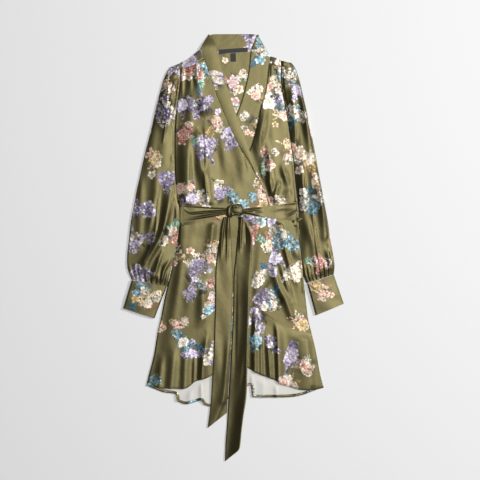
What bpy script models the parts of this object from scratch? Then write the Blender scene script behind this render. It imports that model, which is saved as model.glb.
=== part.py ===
"""Wrap dress with a tie belt, laid flat on its back: one closed solid for each cut piece.

The plan of every piece lies in X and Y and its height in Z, with the floor at zero.
+Y points from the hem to the neck.  The wearer's right is at -X, as the dress is seen
from above.  Sizes in the tables are millimetres; meshes are written in metres.
"""
import math

import bmesh
import bpy

MM = 0.001

# Cloth and layers
WALL = 1.3            # thickness of the satin wall
BAND_WALL = 2.0       # thickness of the doubled front band
LABEL_WALL = 1.0      # thickness of a woven label
LAYER_GAP = 0.4       # clear space between layers that lie on each other
SEAM = 0.6            # clear space between pieces that are sewn edge to edge
BAND_SEAM = 1.1       # the same along the curved front bands
ARMHOLE_SEAM = 1.3    # the same along the curved armholes
STEP = WALL + LAYER_GAP

# Main heights up the dress
WAIST_Y = 92.0        # waist seam, under the belt
NECK_Y = 531.0        # back neck seam
FACING_Y = 320.0      # lower edge of the back neck facing
COLLAR_Y = 577.5      # top edge of the back collar
BAND_TOP_Y = 577.0    # top end of both front bands, at their seams
BAND_EDGE_TOP_Y = 574.0
COLLAR_SIDE_Y = 573.0      # top of the collar's ends
SHOULDER_RIGHT_Y = 500.0   # outer ends of the shoulder seams
SHOULDER_LEFT_Y = 507.0
YOKE_RIGHT_Y = 486.0       # yoke seams at the armholes
YOKE_LEFT_Y = 490.0
YOKE_RIGHT_END_Y = 512.0   # yoke seams at the bands
YOKE_LEFT_END_Y = 500.0
FLOUNCE_Y = -230.0         # flounce seams at the side seams
HEM_RIGHT_Y = -373.0       # hems at the side seams
HEM_LEFT_Y = -378.0

# Belt
BELT_HALF = 27.0      # half of the belt's width
BELT_LEFT_X = -143.0
BELT_RIGHT_X = 173.0
KNOT_LEFT_X = -20.0
KNOT_RIGHT_X = 27.0
KNOT_LOW_Y = 84.0
KNOT_TOP_Y = 121.0
KNOT_HEIGHT = 15.0

# Levels of the wrapped fronts above the back
UNDER_LEVEL = STEP
OVER_LEVEL = UNDER_LEVEL + BAND_WALL + LAYER_GAP
FACING_RISE_LOW = 235.0    # the fronts climb over the facing between these two heights
FACING_RISE_TOP = 305.0
SIDE_RISE = 45.0           # width in which the upper front climbs from its side seam

# Sleeves and cuffs
SLEEVE_EDGE = 5.0     # height of the rounded sides of a sleeve
SLEEVE_DOME = 7.0     # extra height in the middle of a sleeve
CUFF_HEIGHT = 7.6
CUFF_BULGE = 1.6
SLEEVE_COLUMNS = 15
SLEEVE_ROWS = 22
CAP_ROWS = 10         # rows beside the armhole
HEAD_GATHER = 2.2     # height of the gathers along the armhole
CUFF_GATHER = 3.0     # height of the gathers above the cuff
BODICE_ROWS = (0.4, 0.4)    # rows lie closer together near the waist
SKIRT_ROWS = (-0.6, -0.6)

# Outlines, each as x, y from the top down
BODY_LEFT = [
    (-143, 500), (-143.5, 453), (-147, 420), (-152.5, 380), (-157, 340), (-159, 291), (-159, 237),
    (-157, 183), (-150, 129), (-144, 97), (-144, 64), (-150, 21), (-162, -38), (-174, -87),
    (-184, -128), (-196, -190), (-205, -230), (-215, -290), (-228, -341), (-236, -373),
]
BODY_RIGHT = [
    (128, 507), (128, 466), (129.5, 439), (133, 412), (138.5, 385), (145, 350), (153, 291),
    (161, 237), (166, 183), (171, 134), (175, 97), (176, 64), (177, 21), (183, -28),
    (188, -74), (196, -146), (202, -195), (211, -230), (223, -281), (234, -341), (244, -378),
]
OVER_BAND_SEAM = [
    (-67, 577), (-77, 561), (-86, 544), (-89, 537), (-83, 526), (-60, 458), (-39, 399),
    (-14, 338), (3, 300), (19, 271), (41, 234), (62, 194), (81, 161), (93, 124), (104, 86),
]
OVER_BAND_EDGE = [
    (-62, 574), (-52, 556), (-43, 530), (-29, 470), (-14, 424), (1, 378), (16, 335),
    (36, 283), (53, 234), (68, 194), (84, 160), (96, 124), (107, 86),
]
UNDER_BAND_SEAM = [
    (67, 577), (73, 563), (88, 537), (96, 521), (98, 510), (94, 479), (90, 439), (82, 405),
    (73, 375), (65, 338), (52, 286), (26, 223), (-9, 156), (-31, 118), (-42, 86),
]
UNDER_BAND_EDGE = [
    (62, 574), (57, 560), (49, 541), (45, 522), (41, 479), (32, 437), (22, 399), (8, 361),
    (-15, 304), (-47, 223), (-77, 156), (-93, 118), (-105, 86),
]
OVER_SKIRT_SEAM = [
    (77, 91), (66, 43), (45, -20), (12, -87), (-26, -146), (-66, -182), (-90, -196),
    (-117, -209), (-144, -219), (-177, -226), (-205, -230),
]
OVER_HEM = [
    (94, 91), (92, 66), (101, 26), (104, -6), (94, -36), (89, -65), (85, -90), (63, -122),
    (42, -155), (36, -195), (12, -257), (-31, -319), (-66, -349), (-101, -360), (-117, -373),
    (-134, -381), (-158, -380), (-190, -380), (-212, -377), (-236, -373),
]
UNDER_SKIRT_SEAM = [
    (-74, 91), (-61, 43), (-36, -11), (-4, -74), (34, -130), (72, -165), (104, -191),
    (126, -205), (153, -217), (180, -225), (211, -230),
]
UNDER_HEM = [
    (-90, 91), (-90, 70), (-90, -20), (-77, -114), (-47, -195), (-15, -263), (18, -308),
    (47, -330), (77, -345), (99, -352), (115, -360), (128, -368), (153, -376), (180, -383),
    (212, -384), (244, -378),
]
BACK_SKIRT_SEAM = [(-205, -230), (-120, -244), (0, -252), (120, -245), (211, -230)]
BACK_HEM = [
    (-236, -373), (-212, -384), (-190, -391), (-158, -397), (-134, -418), (-112, -419),
    (-90, -414), (-63, -428), (-36, -422), (-4, -402), (23, -384), (45, -380), (62, -398),
    (77, -404), (112, -404), (153, -404), (188, -399), (212, -389), (244, -378),
]
RIGHT_SLEEVE_OUTER = [
    (-168, 490), (-178, 478), (-189, 453), (-198, 421), (-209, 380), (-220, 329),
    (-231, 286), (-242, 242), (-252, 196), (-261, 156), (-269, 113), (-277, 70), (-282, 26),
    (-287, -22), (-286, -55), (-275, -87),
]
RIGHT_SLEEVE_INNER = [
    (-159.9, 318), (-160.2, 270), (-159.8, 237), (-157.9, 183), (-150.9, 129),
    (-145.0, 97), (-145.0, 64), (-151.5, 21), (-164, -38), (-175, -87), (-180, -104),
]
LEFT_SLEEVE_OUTER = [
    (155, 501), (164, 490), (172, 473), (181, 442), (189, 407), (197, 372),
    (205, 329), (215, 286), (223, 242), (231, 199), (239, 156), (247, 113), (255, 70),
    (261, 26), (269, -17), (273, -47), (271, -73),
]
LEFT_SLEEVE_INNER = [
    (149.8, 334), (155.3, 285), (163, 237), (168, 183), (173.5, 134), (177.5, 97),
    (178, 64), (178.8, 21), (184.8, -28), (190, -74), (199, -96),
]
TAIL_RIGHT_LEFT_EDGE = [
    (-27, 83), (-34, 61), (-38, 26), (-45, -20), (-49, -74), (-51, -195), (-55, -303),
    (-61, -411), (-70, -487),
]
TAIL_RIGHT_RIGHT_EDGE = [
    (-9, 83), (-7, 61), (-6, 21), (-4, -20), (-2.4, -74), (-2.6, -141), (-4.2, -195),
    (-9.5, -303), (-16, -411), (-18, -446),
]
TAIL_LEFT_LEFT_EDGE = [
    (12, 83), (13, 61), (9, 21), (5, -28), (0, -74), (-0.8, -141), (-2.4, -195), (-7.6, -303),
    (-14, -411), (-19, -492), (-22, -533), (-23, -577.5),
]
TAIL_LEFT_RIGHT_EDGE = [
    (26, 83), (36, 64), (47, 43), (51, 21), (49, -20), (45, -87), (41, -195), (38, -303),
    (35, -398), (28, -446), (22, -492), (18, -533), (13, -546),
]

# Folds: x and y of both ends, half width of the ridge and its height
OVER_FOLDS = [
    # x0, y0, x1, y1, width, height
    (-130, 480, -112, 320, 11, 6.0),
    (-102, 495, -84, 350, 10, 4.0),
    (-106, 320, -103, 125, 12, 7.0),
    (-58, 350, -55, 125, 13, 6.5),
    (-6, 250, 10, 125, 11, 4.5),
    (-138, 300, -132, 125, 8, 3.5),
    (-117, 60, -123, -200, 13, 6.0),
    (-70, 55, -78, -140, 10, 4.0),
]
UNDER_FOLDS = [
    # x0, y0, x1, y1, width, height
    (104, 345, 116, 125, 11, 8.0),
    (126, 480, 131, 320, 10, 4.5),
    (140, 264, 153, 125, 10, 5.0),
    (74, 280, 84, 130, 9, 4.0),
    (147, 60, 180, -141, 11, 7.0),
    (112, 40, 155, -180, 11, 6.0),
    (160, 40, 186, -60, 9, 3.0),
]
RIGHT_SLEEVE_FOLDS = [
    # x0, y0, x1, y1, width, height
    (-155, 439, -188, 291, 12, 6.0),
    (-198, 390, -236, 183, 12, 6.0),
    (-248, 183, -256, -10, 10, 7.0),
    (-209, 230, -213, -10, 11, 8.0),
    (-180, 190, -190, -38, 10, 6.0),
]
LEFT_SLEEVE_FOLDS = [
    # x0, y0, x1, y1, width, height
    (158, 439, 184, 264, 11, 6.0),
    (190, 390, 223, 183, 12, 6.0),
    (190, 190, 196, -38, 10, 6.0),
    (214, 230, 218, -38, 11, 7.5),
    (243, 190, 252, -30, 11, 7.0),
]
TAIL_RIGHT_FOLDS = [(-31, 48, -31, -380, 9, 4.0)]
TAIL_LEFT_FOLDS = [(20, 40, 14, -520, 10, 4.5)]
BELT_RIGHT_FOLDS = [
    # x0, y0, x1, y1, width, height
    (-150, 112, -15, 106, 5, 3.0),
    (-150, 92, -15, 98, 6, 4.0),
    (-150, 74, -15, 91, 5, 3.0),
]
BELT_LEFT_FOLDS = [
    # x0, y0, x1, y1, width, height
    (22, 100, 105, 112, 6, 4.0),
    (22, 94, 120, 84, 6, 4.0),
    (120, 98, 182, 96, 9, 2.5),
]

# Colours of the cloths, linear red, green and blue
PRINT_COLOUR = (0.21, 0.18, 0.10)
PLAIN_COLOUR = (0.19, 0.17, 0.07)
FACING_COLOUR = (0.35, 0.28, 0.22)
LABEL_COLOUR = (0.01, 0.01, 0.01)
SATIN_ROUGHNESS = 0.35


# Lines and plans

def smooth(value, low, high):
    """Go from 0 at the low value to 1 at the high one, level at both ends."""
    share = min(1.0, max(0.0, (value - low) / (high - low)))
    return share * share * (3.0 - 2.0 * share)


def rounded(points, steps=8):
    """Run a smooth line through hand-set points."""
    first = points[0]
    last = points[-1]
    ends = [first] + list(points) + [last]
    line = []
    for index in range(1, len(ends) - 2):
        before, start, end, after = ends[index - 1:index + 3]
        for step in range(steps):
            t = step / steps
            line.append(tuple(
                0.5 * (2.0 * s + (e - b) * t + (2.0 * b - 5.0 * s + 4.0 * e - a) * t * t
                       + (3.0 * s - b - 3.0 * e + a) * t ** 3)
                for b, s, e, a in zip(before, start, end, after)
            ))
    line.append(tuple(last))
    return line


def at_height(line, y):
    """Find the point where a falling line passes a height."""
    for (x0, y0), (x1, y1) in zip(line, line[1:]):
        if y0 >= y >= y1 and y0 > y1:
            return (x0 + (x1 - x0) * (y0 - y) / (y0 - y1), y)
    return line[0] if y > line[0][1] else line[-1]


def between(line, top_y, low_y):
    """Cut the stretch of a falling line between two heights."""
    middle = [point for point in line if low_y < point[1] < top_y]
    return [at_height(line, top_y)] + middle + [at_height(line, low_y)]


def moved(line, dx, dy=0.0):
    """Shift a line."""
    return [(x + dx, y + dy) for x, y in line]


def spaced(line, count, ease=0.0):
    """Place points along a line, at equal lengths or, with ease, wider at its start."""
    lengths = [0.0]
    for (x0, y0), (x1, y1) in zip(line, line[1:]):
        lengths.append(lengths[-1] + math.hypot(x1 - x0, y1 - y0))
    points = []
    span = 0
    for index in range(count + 1):
        share = index / count
        target = lengths[-1] * ((1.0 + ease) * share - ease * share * share)
        while span < len(line) - 2 and lengths[span + 1] < target:
            span += 1
        share = (target - lengths[span]) / max(1e-9, lengths[span + 1] - lengths[span])
        (x0, y0), (x1, y1) = line[span], line[span + 1]
        points.append((x0 + (x1 - x0) * share, y0 + (y1 - y0) * share))
    return points


def plan_inside(top, bottom, left, right, columns, rows, eases=(0.0, 0.0)):
    """Fill four border lines with rows of plan points, as a Coons patch."""
    top, bottom = spaced(top, columns), spaced(bottom, columns)
    left, right = spaced(left, rows, eases[0]), spaced(right, rows, eases[1])
    plan = []
    for row in range(rows + 1):
        v = row / rows
        line = []
        for column in range(columns + 1):
            u = column / columns
            line.append(tuple(
                (1 - v) * top[column][k] + v * bottom[column][k]
                + (1 - u) * left[row][k] + u * right[row][k]
                - (1 - u) * (1 - v) * top[0][k] - u * (1 - v) * top[-1][k]
                - (1 - u) * v * bottom[0][k] - u * v * bottom[-1][k]
                for k in (0, 1)
            ))
        plan.append(line)
    return plan


LEFT_SIDE = rounded(BODY_LEFT)
RIGHT_SIDE = rounded(BODY_RIGHT)
OVER_SEAM_LINE = rounded(OVER_BAND_SEAM)
OVER_EDGE_LINE = rounded(OVER_BAND_EDGE)
UNDER_SEAM_LINE = rounded(UNDER_BAND_SEAM)
UNDER_EDGE_LINE = rounded(UNDER_BAND_EDGE)
OVER_HEM_LINE = rounded(OVER_HEM)
TAILS_LEFT_LINE = rounded(TAIL_RIGHT_LEFT_EDGE)
TAILS_RIGHT_LINE = rounded(TAIL_LEFT_RIGHT_EDGE)


# Heights of the layers

def ridge_height(rows, x, y):
    """Add up the ridges of a fold table at one place."""
    total = 0.0
    for x0, y0, x1, y1, width, height in rows:
        length = math.hypot(x1 - x0, y1 - y0)
        along = ((x - x0) * (x1 - x0) + (y - y0) * (y1 - y0)) / length ** 2
        aside = ((x - x0) * (y1 - y0) - (y - y0) * (x1 - x0)) / length
        fade = smooth(along, -0.1, 0.2) * (1.0 - smooth(along, 0.8, 1.1))
        total += height * fade * math.exp(-(aside / width) ** 2)
    return total


def clear_of_belt(y):
    """Press the folds flat under the belt."""
    return smooth(abs(y - WAIST_Y), BELT_HALF + 3.0, BELT_HALF + 30.0)


def clear_of_tails(x, y):
    """Press the folds flat under the belt's tails."""
    if y > WAIST_Y:
        return 1.0
    left = at_height(TAILS_LEFT_LINE, y)[0]
    right = at_height(TAILS_RIGHT_LINE, y)[0]
    return max(smooth(left - x, 3.0, 22.0), smooth(x - right, 3.0, 22.0))


def wrap_edge_x(y):
    """Find the free edge of the upper front at a height."""
    line = OVER_EDGE_LINE if y > WAIST_Y else OVER_HEM_LINE
    return at_height(line, y)[0]


def back_z(x, y):
    """Underside of the back, which passes over the belt behind it."""
    return STEP * (1.0 - smooth(abs(y - WAIST_Y), BELT_HALF + 4.0, BELT_HALF + 44.0))


def over_facing(y):
    """Extra height of the fronts where the facing lies beneath them."""
    return STEP * smooth(y, FACING_RISE_LOW, FACING_RISE_TOP)


def under_base(x, y):
    """Underside of the lower front without its folds."""
    return back_z(x, y) + UNDER_LEVEL + over_facing(y)


def under_z(x, y):
    """Underside of the lower front, with folds where nothing lies on it."""
    seen = smooth(x - wrap_edge_x(y), 3.0, 22.0) * clear_of_belt(y)
    return under_base(x, y) + seen * ridge_height(UNDER_FOLDS, x, y)


def over_base(x, y):
    """Underside of the upper front without its folds."""
    inset = x - at_height(LEFT_SIDE, y)[0]
    level = OVER_LEVEL + over_facing(y)
    return back_z(x, y) + STEP + (level - STEP) * smooth(inset, 4.0, SIDE_RISE)


def over_z(x, y):
    """Underside of the upper front with its folds."""
    seen = clear_of_belt(y) * clear_of_tails(x, y)
    return over_base(x, y) + seen * ridge_height(OVER_FOLDS, x, y)


def flounce_wave(u, v, waves, height):
    """Waves of a flounce, none at its seam and full at its hem."""
    return height * v * (0.5 - 0.5 * math.cos(2.0 * math.pi * waves * u))


# Meshes

def colour_material(name, colour, roughness):
    """Make a Principled material in one colour."""
    material = bpy.data.materials.new(name)
    material.use_nodes = True
    shader = material.node_tree.nodes["Principled BSDF"]
    shader.inputs["Base Color"].default_value = (*colour, 1.0)
    shader.inputs["Roughness"].default_value = roughness
    shader.inputs["Metallic"].default_value = 0.0
    material.diffuse_color = (*colour, 1.0)
    return material


def turns_left(plan):
    """Tell whether a plan's rows run so that its cells turn anticlockwise from above."""
    area = 0.0
    for upper, lower in zip(plan, plan[1:]):
        for (x0, y0), (x1, y1), (x2, y2) in zip(upper, upper[1:], lower):
            area += (x1 - x0) * (y2 - y0) - (y1 - y0) * (x2 - x0)
    return area > 0.0


def surface_object(name, rows, closed_from, flip, wall, offset, colour):
    """Build an open surface from rows of points and give it a wall with Solidify.

    From the row closed_from on, the last column is the first one: there it is a tube.
    """
    width = len(rows[0])

    def index(row, column):
        joined = column == width - 1 and row >= closed_from
        return row * width + (0 if joined else column)

    points = [tuple(value * MM for value in point) for row in rows for point in row]
    faces = []
    for row in range(len(rows) - 1):
        for column in range(width - 1):
            face = (index(row, column), index(row + 1, column),
                    index(row + 1, column + 1), index(row, column + 1))
            faces.append(face[::-1] if flip else face)
    mesh = bpy.data.meshes.new(name)
    mesh.from_pydata(points, [], faces)
    shape = bmesh.new()
    shape.from_mesh(mesh)
    loose = [vertex for vertex in shape.verts if not vertex.link_faces]
    bmesh.ops.delete(shape, geom=loose, context="VERTS")
    shape.to_mesh(mesh)
    shape.free()
    mesh.shade_smooth()
    mesh.materials.append(colour_material(name + "_cloth", colour, SATIN_ROUGHNESS))
    cloth = bpy.data.objects.new(name, mesh)
    COLLECTION.objects.link(cloth)
    solidify = cloth.modifiers.new("Wall", "SOLIDIFY")
    solidify.thickness = wall * MM
    solidify.offset = offset
    return cloth


def panel(name, plan, height, colour=PRINT_COLOUR, wall=WALL):
    """Build a laid panel whose underside follows a height function of x, y, u and v."""
    rows = []
    for row, line in enumerate(plan):
        v = row / (len(plan) - 1)
        rows.append([
            (x, y, height(x, y, column / (len(line) - 1), v))
            for column, (x, y) in enumerate(line)
        ])
    surface_object(name, rows, len(rows), turns_left(plan), wall, 1.0, colour)


def beside(line, row, distance):
    """Step square to a border from one of its points; to its left, looking along it."""
    (x0, y0), (x1, y1) = line[max(0, row - 1)], line[min(len(line) - 1, row + 1)]
    share = distance / math.hypot(x1 - x0, y1 - y0)
    x, y = line[row]
    return (x + (y0 - y1) * share, y + (x1 - x0) * share)


def tube(name, plan, height, edge, open_rows=0, colour=PRINT_COLOUR):
    """Build a flattened tube: flat below, rounded at its sides, shaped by height on top.

    In the first open_rows rows the side at u = 1 stays open, as at an armhole.
    """
    first_border = [line[0] for line in plan]
    last_border = [line[-1] for line in plan]
    inward = -0.5 * edge if turns_left(plan) else 0.5 * edge
    rings = []
    for row, line in enumerate(plan):
        v = row / (len(plan) - 1)
        first = beside(first_border, row, inward)
        last = beside(last_border, row, -inward)
        places = []
        for column, (x, y) in enumerate(line):
            u = column / (len(line) - 1)
            dx = (first[0] - line[0][0]) * (1.0 - u) + (last[0] - line[-1][0]) * u
            dy = (first[1] - line[0][1]) * (1.0 - u) + (last[1] - line[-1][1]) * u
            places.append((x + dx, y + dy))
        top = [(x, y, height(x, y, column / (len(line) - 1), v))
               for column, (x, y) in enumerate(places)]
        low = [(x, y, 0.0) for x, y in [places[0]] + places[2:-2:2] + places[-2:]]
        start = end = (*line[-1], 0.5 * edge)
        if row < open_rows:
            rise = min(1.0, (open_rows - row) / 3.0)
            edge_z = height(*line[-1], 1.0, v)
            start = (*line[-1], 0.5 * edge + (edge_z - 0.5 * edge) * rise)
            end = (*line[-1], 0.0)
        rings.append([start] + top[::-1] + [(*line[0], 0.5 * edge)] + low + [end])
    surface_object(name, rings, open_rows, not turns_left(plan), WALL, -1.0, colour)


# Pieces

def back_pieces():
    """Back bodice, back skirt and back flounce, which lie on the floor."""
    left = between(LEFT_SIDE, SHOULDER_RIGHT_Y, WAIST_Y + SEAM)
    right = between(RIGHT_SIDE, SHOULDER_LEFT_Y, WAIST_Y + SEAM)
    neck = [left[0], (-117, 514), (-91, 534), (-42, 530), (-1, 530), (39, 533), (93, 519), right[0]]
    plan = plan_inside(rounded(neck), [left[-1], right[-1]], left, right, 12, 14, BODICE_ROWS)
    panel("back_bodice", plan, lambda x, y, u, v: back_z(x, y))

    left = between(LEFT_SIDE, WAIST_Y - SEAM, FLOUNCE_Y)
    right = between(RIGHT_SIDE, WAIST_Y - SEAM, FLOUNCE_Y)
    seam = [left[-1]] + BACK_SKIRT_SEAM[1:-1] + [right[-1]]
    plan = plan_inside([left[0], right[0]], rounded(seam), left, right, 6, 10, SKIRT_ROWS)
    panel("back_skirt", plan, lambda x, y, u, v: back_z(x, y))

    left = between(LEFT_SIDE, FLOUNCE_Y - 2 * SEAM, HEM_RIGHT_Y)
    right = between(RIGHT_SIDE, FLOUNCE_Y - 2 * SEAM, HEM_LEFT_Y)
    seam = [left[0]] + moved(BACK_SKIRT_SEAM[1:-1], 0.0, -2 * SEAM) + [right[0]]
    hem = [left[-1]] + BACK_HEM[1:-1] + [right[-1]]
    plan = plan_inside(rounded(seam), rounded(hem), left, right, 34, 3)

    def wave(x, y, u, v):
        return smooth(v, 0.6, 1.0) * clear_of_tails(x, y) * flounce_wave(u, v, 13, 1.0)

    panel("back_flounce", plan, wave)


def neck_pieces():
    """Back neck facing, back collar, main label and size tab."""
    top = [(-58, 528), (-1, 528), (57, 530)]
    left = [(-58, 528), (-50, 480), (-32, 424), (-14, 378), (4, FACING_Y)]
    right = [(57, 530), (54, 479), (46, 437), (38, 399), (34, FACING_Y)]
    plan = plan_inside(top, [left[-1], right[-1]], rounded(left), rounded(right), 8, 10)
    panel("back_neck_facing", plan, lambda x, y, u, v: STEP, FACING_COLOUR)

    left = moved(between(OVER_EDGE_LINE, COLLAR_SIDE_Y, NECK_Y + 1.0), SEAM)
    right = moved(between(UNDER_EDGE_LINE, COLLAR_SIDE_Y, NECK_Y + 5.0), -SEAM)
    top = [left[0], (-55, 577), (0, COLLAR_Y), (55, 577), right[0]]
    bottom = [left[-1], (-1, NECK_Y + 1.0), right[-1]]
    plan = plan_inside(rounded(top), rounded(bottom), left, right, 10, 3)
    panel("back_collar", plan, lambda x, y, u, v: 1.4 * v, FACING_COLOUR)

    label_z = STEP + WALL + LAYER_GAP
    label = plan_inside([(-40, 535), (38, 541)], [(-39, 524), (39, 530)],
                        [(-40, 535), (-39, 524)], [(38, 541), (39, 530)], 4, 1)
    panel("main_label", label, lambda x, y, u, v: label_z, LABEL_COLOUR, LABEL_WALL)
    tab = plan_inside([(-9, 525), (6, 526)], [(-8, 502), (7, 503)],
                      [(-9, 525), (-8, 502)], [(6, 526), (7, 503)], 2, 2)
    panel("size_tab", tab, lambda x, y, u, v: label_z, LABEL_COLOUR, LABEL_WALL)


def band_z(x, y, base):
    """Underside of a front band, which falls to the floor beside the collar."""
    fall = smooth(y, NECK_Y + 8.0, COLLAR_Y)
    return base * (1.0 - fall) + LAYER_GAP * fall


def front_bands():
    """The two doubled bands that edge the fronts and run up to the collar."""
    low_y = WAIST_Y + SEAM
    seam = between(UNDER_SEAM_LINE, BAND_TOP_Y, low_y)
    edge = between(UNDER_EDGE_LINE, BAND_EDGE_TOP_Y, low_y)
    plan = plan_inside([edge[0], seam[0]], [edge[-1], seam[-1]], edge, seam, 2, 24, BODICE_ROWS)
    panel("front_band_left", plan, lambda x, y, u, v: band_z(x, y, under_base(x, y)),
          PRINT_COLOUR, BAND_WALL)
    seam = between(OVER_SEAM_LINE, BAND_TOP_Y, low_y)
    edge = between(OVER_EDGE_LINE, BAND_EDGE_TOP_Y, low_y)
    plan = plan_inside([seam[0], edge[0]], [seam[-1], edge[-1]], seam, edge, 2, 24, BODICE_ROWS)
    panel("front_band_right", plan, lambda x, y, u, v: band_z(x, y, over_base(x, y)),
          PLAIN_COLOUR, BAND_WALL)


def bodice_fronts():
    """Both fronts and their shoulder yokes, with the gathers below the yokes."""
    over_neck, under_neck = (-91, 536), (99.5, 517)
    low_y = WAIST_Y + SEAM

    left = between(LEFT_SIDE, YOKE_RIGHT_Y - SEAM, low_y)
    right = moved(between(OVER_SEAM_LINE, YOKE_RIGHT_END_Y - SEAM, low_y), -BAND_SEAM)
    top = rounded([left[0], (-112, 491), right[0]])
    plan = plan_inside(top, [left[-1], right[-1]], left, right, 18, 13, BODICE_ROWS)
    panel("front_bodice_right", plan, lambda x, y, u, v: over_z(x, y))
    shoulder = rounded([at_height(LEFT_SIDE, SHOULDER_RIGHT_Y), (-117, 514), over_neck])
    end = at_height(moved(OVER_SEAM_LINE, -BAND_SEAM), YOKE_RIGHT_END_Y)
    seam = rounded([at_height(LEFT_SIDE, YOKE_RIGHT_Y), (-112, 491 + SEAM), end])
    plan = plan_inside(shoulder, seam, [shoulder[0], seam[0]], [shoulder[-1], seam[-1]], 8, 2)

    def yoke_right(x, y, u, v):
        return STEP + (over_base(x, y) - STEP) * (0.35 + 0.65 * v)

    panel("shoulder_yoke_right", plan, yoke_right)

    left = moved(between(UNDER_SEAM_LINE, YOKE_LEFT_END_Y - SEAM, low_y), BAND_SEAM)
    right = between(RIGHT_SIDE, YOKE_LEFT_Y - SEAM, low_y)
    top = rounded([left[0], (114, 494), right[0]])
    plan = plan_inside(top, [left[-1], right[-1]], left, right, 18, 13, BODICE_ROWS)
    panel("front_bodice_left", plan, lambda x, y, u, v: under_z(x, y))
    shoulder = rounded([under_neck, (112, 514), at_height(RIGHT_SIDE, SHOULDER_LEFT_Y)])
    start = at_height(moved(UNDER_SEAM_LINE, BAND_SEAM), YOKE_LEFT_END_Y)
    seam = rounded([start, (114, 494 + SEAM), at_height(RIGHT_SIDE, YOKE_LEFT_Y)])
    plan = plan_inside(shoulder, seam, [shoulder[0], seam[0]], [shoulder[-1], seam[-1]], 6, 2)

    def yoke_left(x, y, u, v):
        return STEP + (under_base(x, y) - STEP) * v

    panel("shoulder_yoke_left", plan, yoke_left)


def skirt_fronts():
    """Both skirt fronts and the flounces along their wrap edges and hems."""
    top_y = WAIST_Y - SEAM
    seam = between(rounded(UNDER_SKIRT_SEAM), top_y - 1.0, FLOUNCE_Y)
    corner = len(seam) * 2 // 3
    right = between(RIGHT_SIDE, top_y, FLOUNCE_Y)
    left = [(seam[0][0], top_y)] + seam[1:corner + 1]
    bottom = seam[corner:-1] + [right[-1]]
    plan = plan_inside([left[0], right[0]], bottom, left, right, 18, 10, SKIRT_ROWS)
    panel("front_skirt_left", plan, lambda x, y, u, v: under_z(x, y))
    seam = between(rounded(OVER_SKIRT_SEAM), top_y - 1.0, FLOUNCE_Y)
    left = between(LEFT_SIDE, top_y, FLOUNCE_Y)
    right = [(seam[0][0], top_y)] + seam[1:corner + 1]
    bottom = [left[-1]] + seam[corner:-1][::-1]
    plan = plan_inside([left[0], right[0]], bottom, left, right, 16, 10, SKIRT_ROWS)
    panel("front_skirt_right", plan, lambda x, y, u, v: over_z(x, y))


def front_flounces():
    """The two curved flounces, each with waves that grow towards its hem."""
    gap = 2 * SEAM
    seam = [(-74 - gap, 90)] + moved(UNDER_SKIRT_SEAM[1:-1], -gap * 0.7, -gap * 0.7)
    end = at_height(RIGHT_SIDE, FLOUNCE_Y - gap)
    seam = rounded(seam + [end])
    hem = rounded([(-90, 90)] + UNDER_HEM[1:])
    side = between(RIGHT_SIDE, end[1], HEM_LEFT_Y)
    plan = plan_inside(seam, hem[:-1] + [side[-1]], [seam[0], hem[0]], side, 40, 4)

    def under_wave(x, y, u, v):
        seen = smooth(x - wrap_edge_x(y), 3.0, 25.0) * clear_of_tails(x, y)
        return under_base(x, y) + seen * flounce_wave(u, v, 16, 7.0)

    panel("flounce_left", plan, under_wave)

    seam = [(77 + gap, 90)] + moved(OVER_SKIRT_SEAM[1:-1], gap * 0.7, -gap * 0.7)
    end = at_height(LEFT_SIDE, FLOUNCE_Y - gap)
    seam = rounded(seam + [end])
    hem = rounded([(94, 90)] + OVER_HEM[1:])
    side = between(LEFT_SIDE, end[1], HEM_RIGHT_Y)
    plan = plan_inside(seam, hem[:-1] + [side[-1]], [seam[0], hem[0]], side, 40, 4)

    def over_wave(x, y, u, v):
        seen = clear_of_tails(x, y) * clear_of_belt(y)
        return over_base(x, y) + seen * flounce_wave(u, v, 15, 6.0)

    panel("flounce_right", plan, over_wave)


def sleeve_top(x, y, u, v, fold_rows):
    """Top of a sleeve: a dome, long folds, and gathers at its head and above its cuff."""
    dome = SLEEVE_DOME * math.sin(math.pi * u * 0.92) ** 0.7
    dome *= smooth(v, -0.3, 0.2) * (1.0 - 0.55 * smooth(v, 0.9, 1.0))
    inside = smooth(u, 0.02, 0.15) * smooth(1.0 - u, 0.02, 0.15)
    folds = ridge_height(fold_rows, x, y) * inside
    head = smooth(u, 0.45, 1.0) * (0.5 - 0.5 * math.cos(math.pi * SLEEVE_ROWS * v))
    head *= 1.0 - smooth(v, 0.28, 0.38)
    cuff = smooth(v, 0.88, 0.98) * (0.5 - 0.5 * math.cos(math.pi * SLEEVE_COLUMNS * u))
    return SLEEVE_EDGE + dome + folds + HEAD_GATHER * head + CUFF_GATHER * inside * cuff


def sleeve(name, side, outer, inner, top_y, under_y, outer_y, fold_rows):
    """One full sleeve: open along its armhole, then a tube down to the cuff seam."""
    shift = -ARMHOLE_SEAM if name == "sleeve_right" else ARMHOLE_SEAM
    outer, inner = rounded(outer), rounded(inner)
    armhole = moved(between(side, top_y, under_y), shift)
    armhole[-1] = inner[0]
    cap_side = between(outer, outer[0][1], outer_y)
    low_side = between(outer, outer_y, outer[-1][1])
    cap = plan_inside([outer[0], armhole[0]], [cap_side[-1], armhole[-1]], cap_side, armhole,
                      SLEEVE_COLUMNS, CAP_ROWS)
    low = plan_inside([low_side[0], inner[0]], [outer[-1], inner[-1]], low_side, inner,
                      SLEEVE_COLUMNS, SLEEVE_ROWS - CAP_ROWS)
    tube(name, cap + low[1:], lambda x, y, u, v: sleeve_top(x, y, u, v, fold_rows),
         SLEEVE_EDGE, CAP_ROWS)


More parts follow.
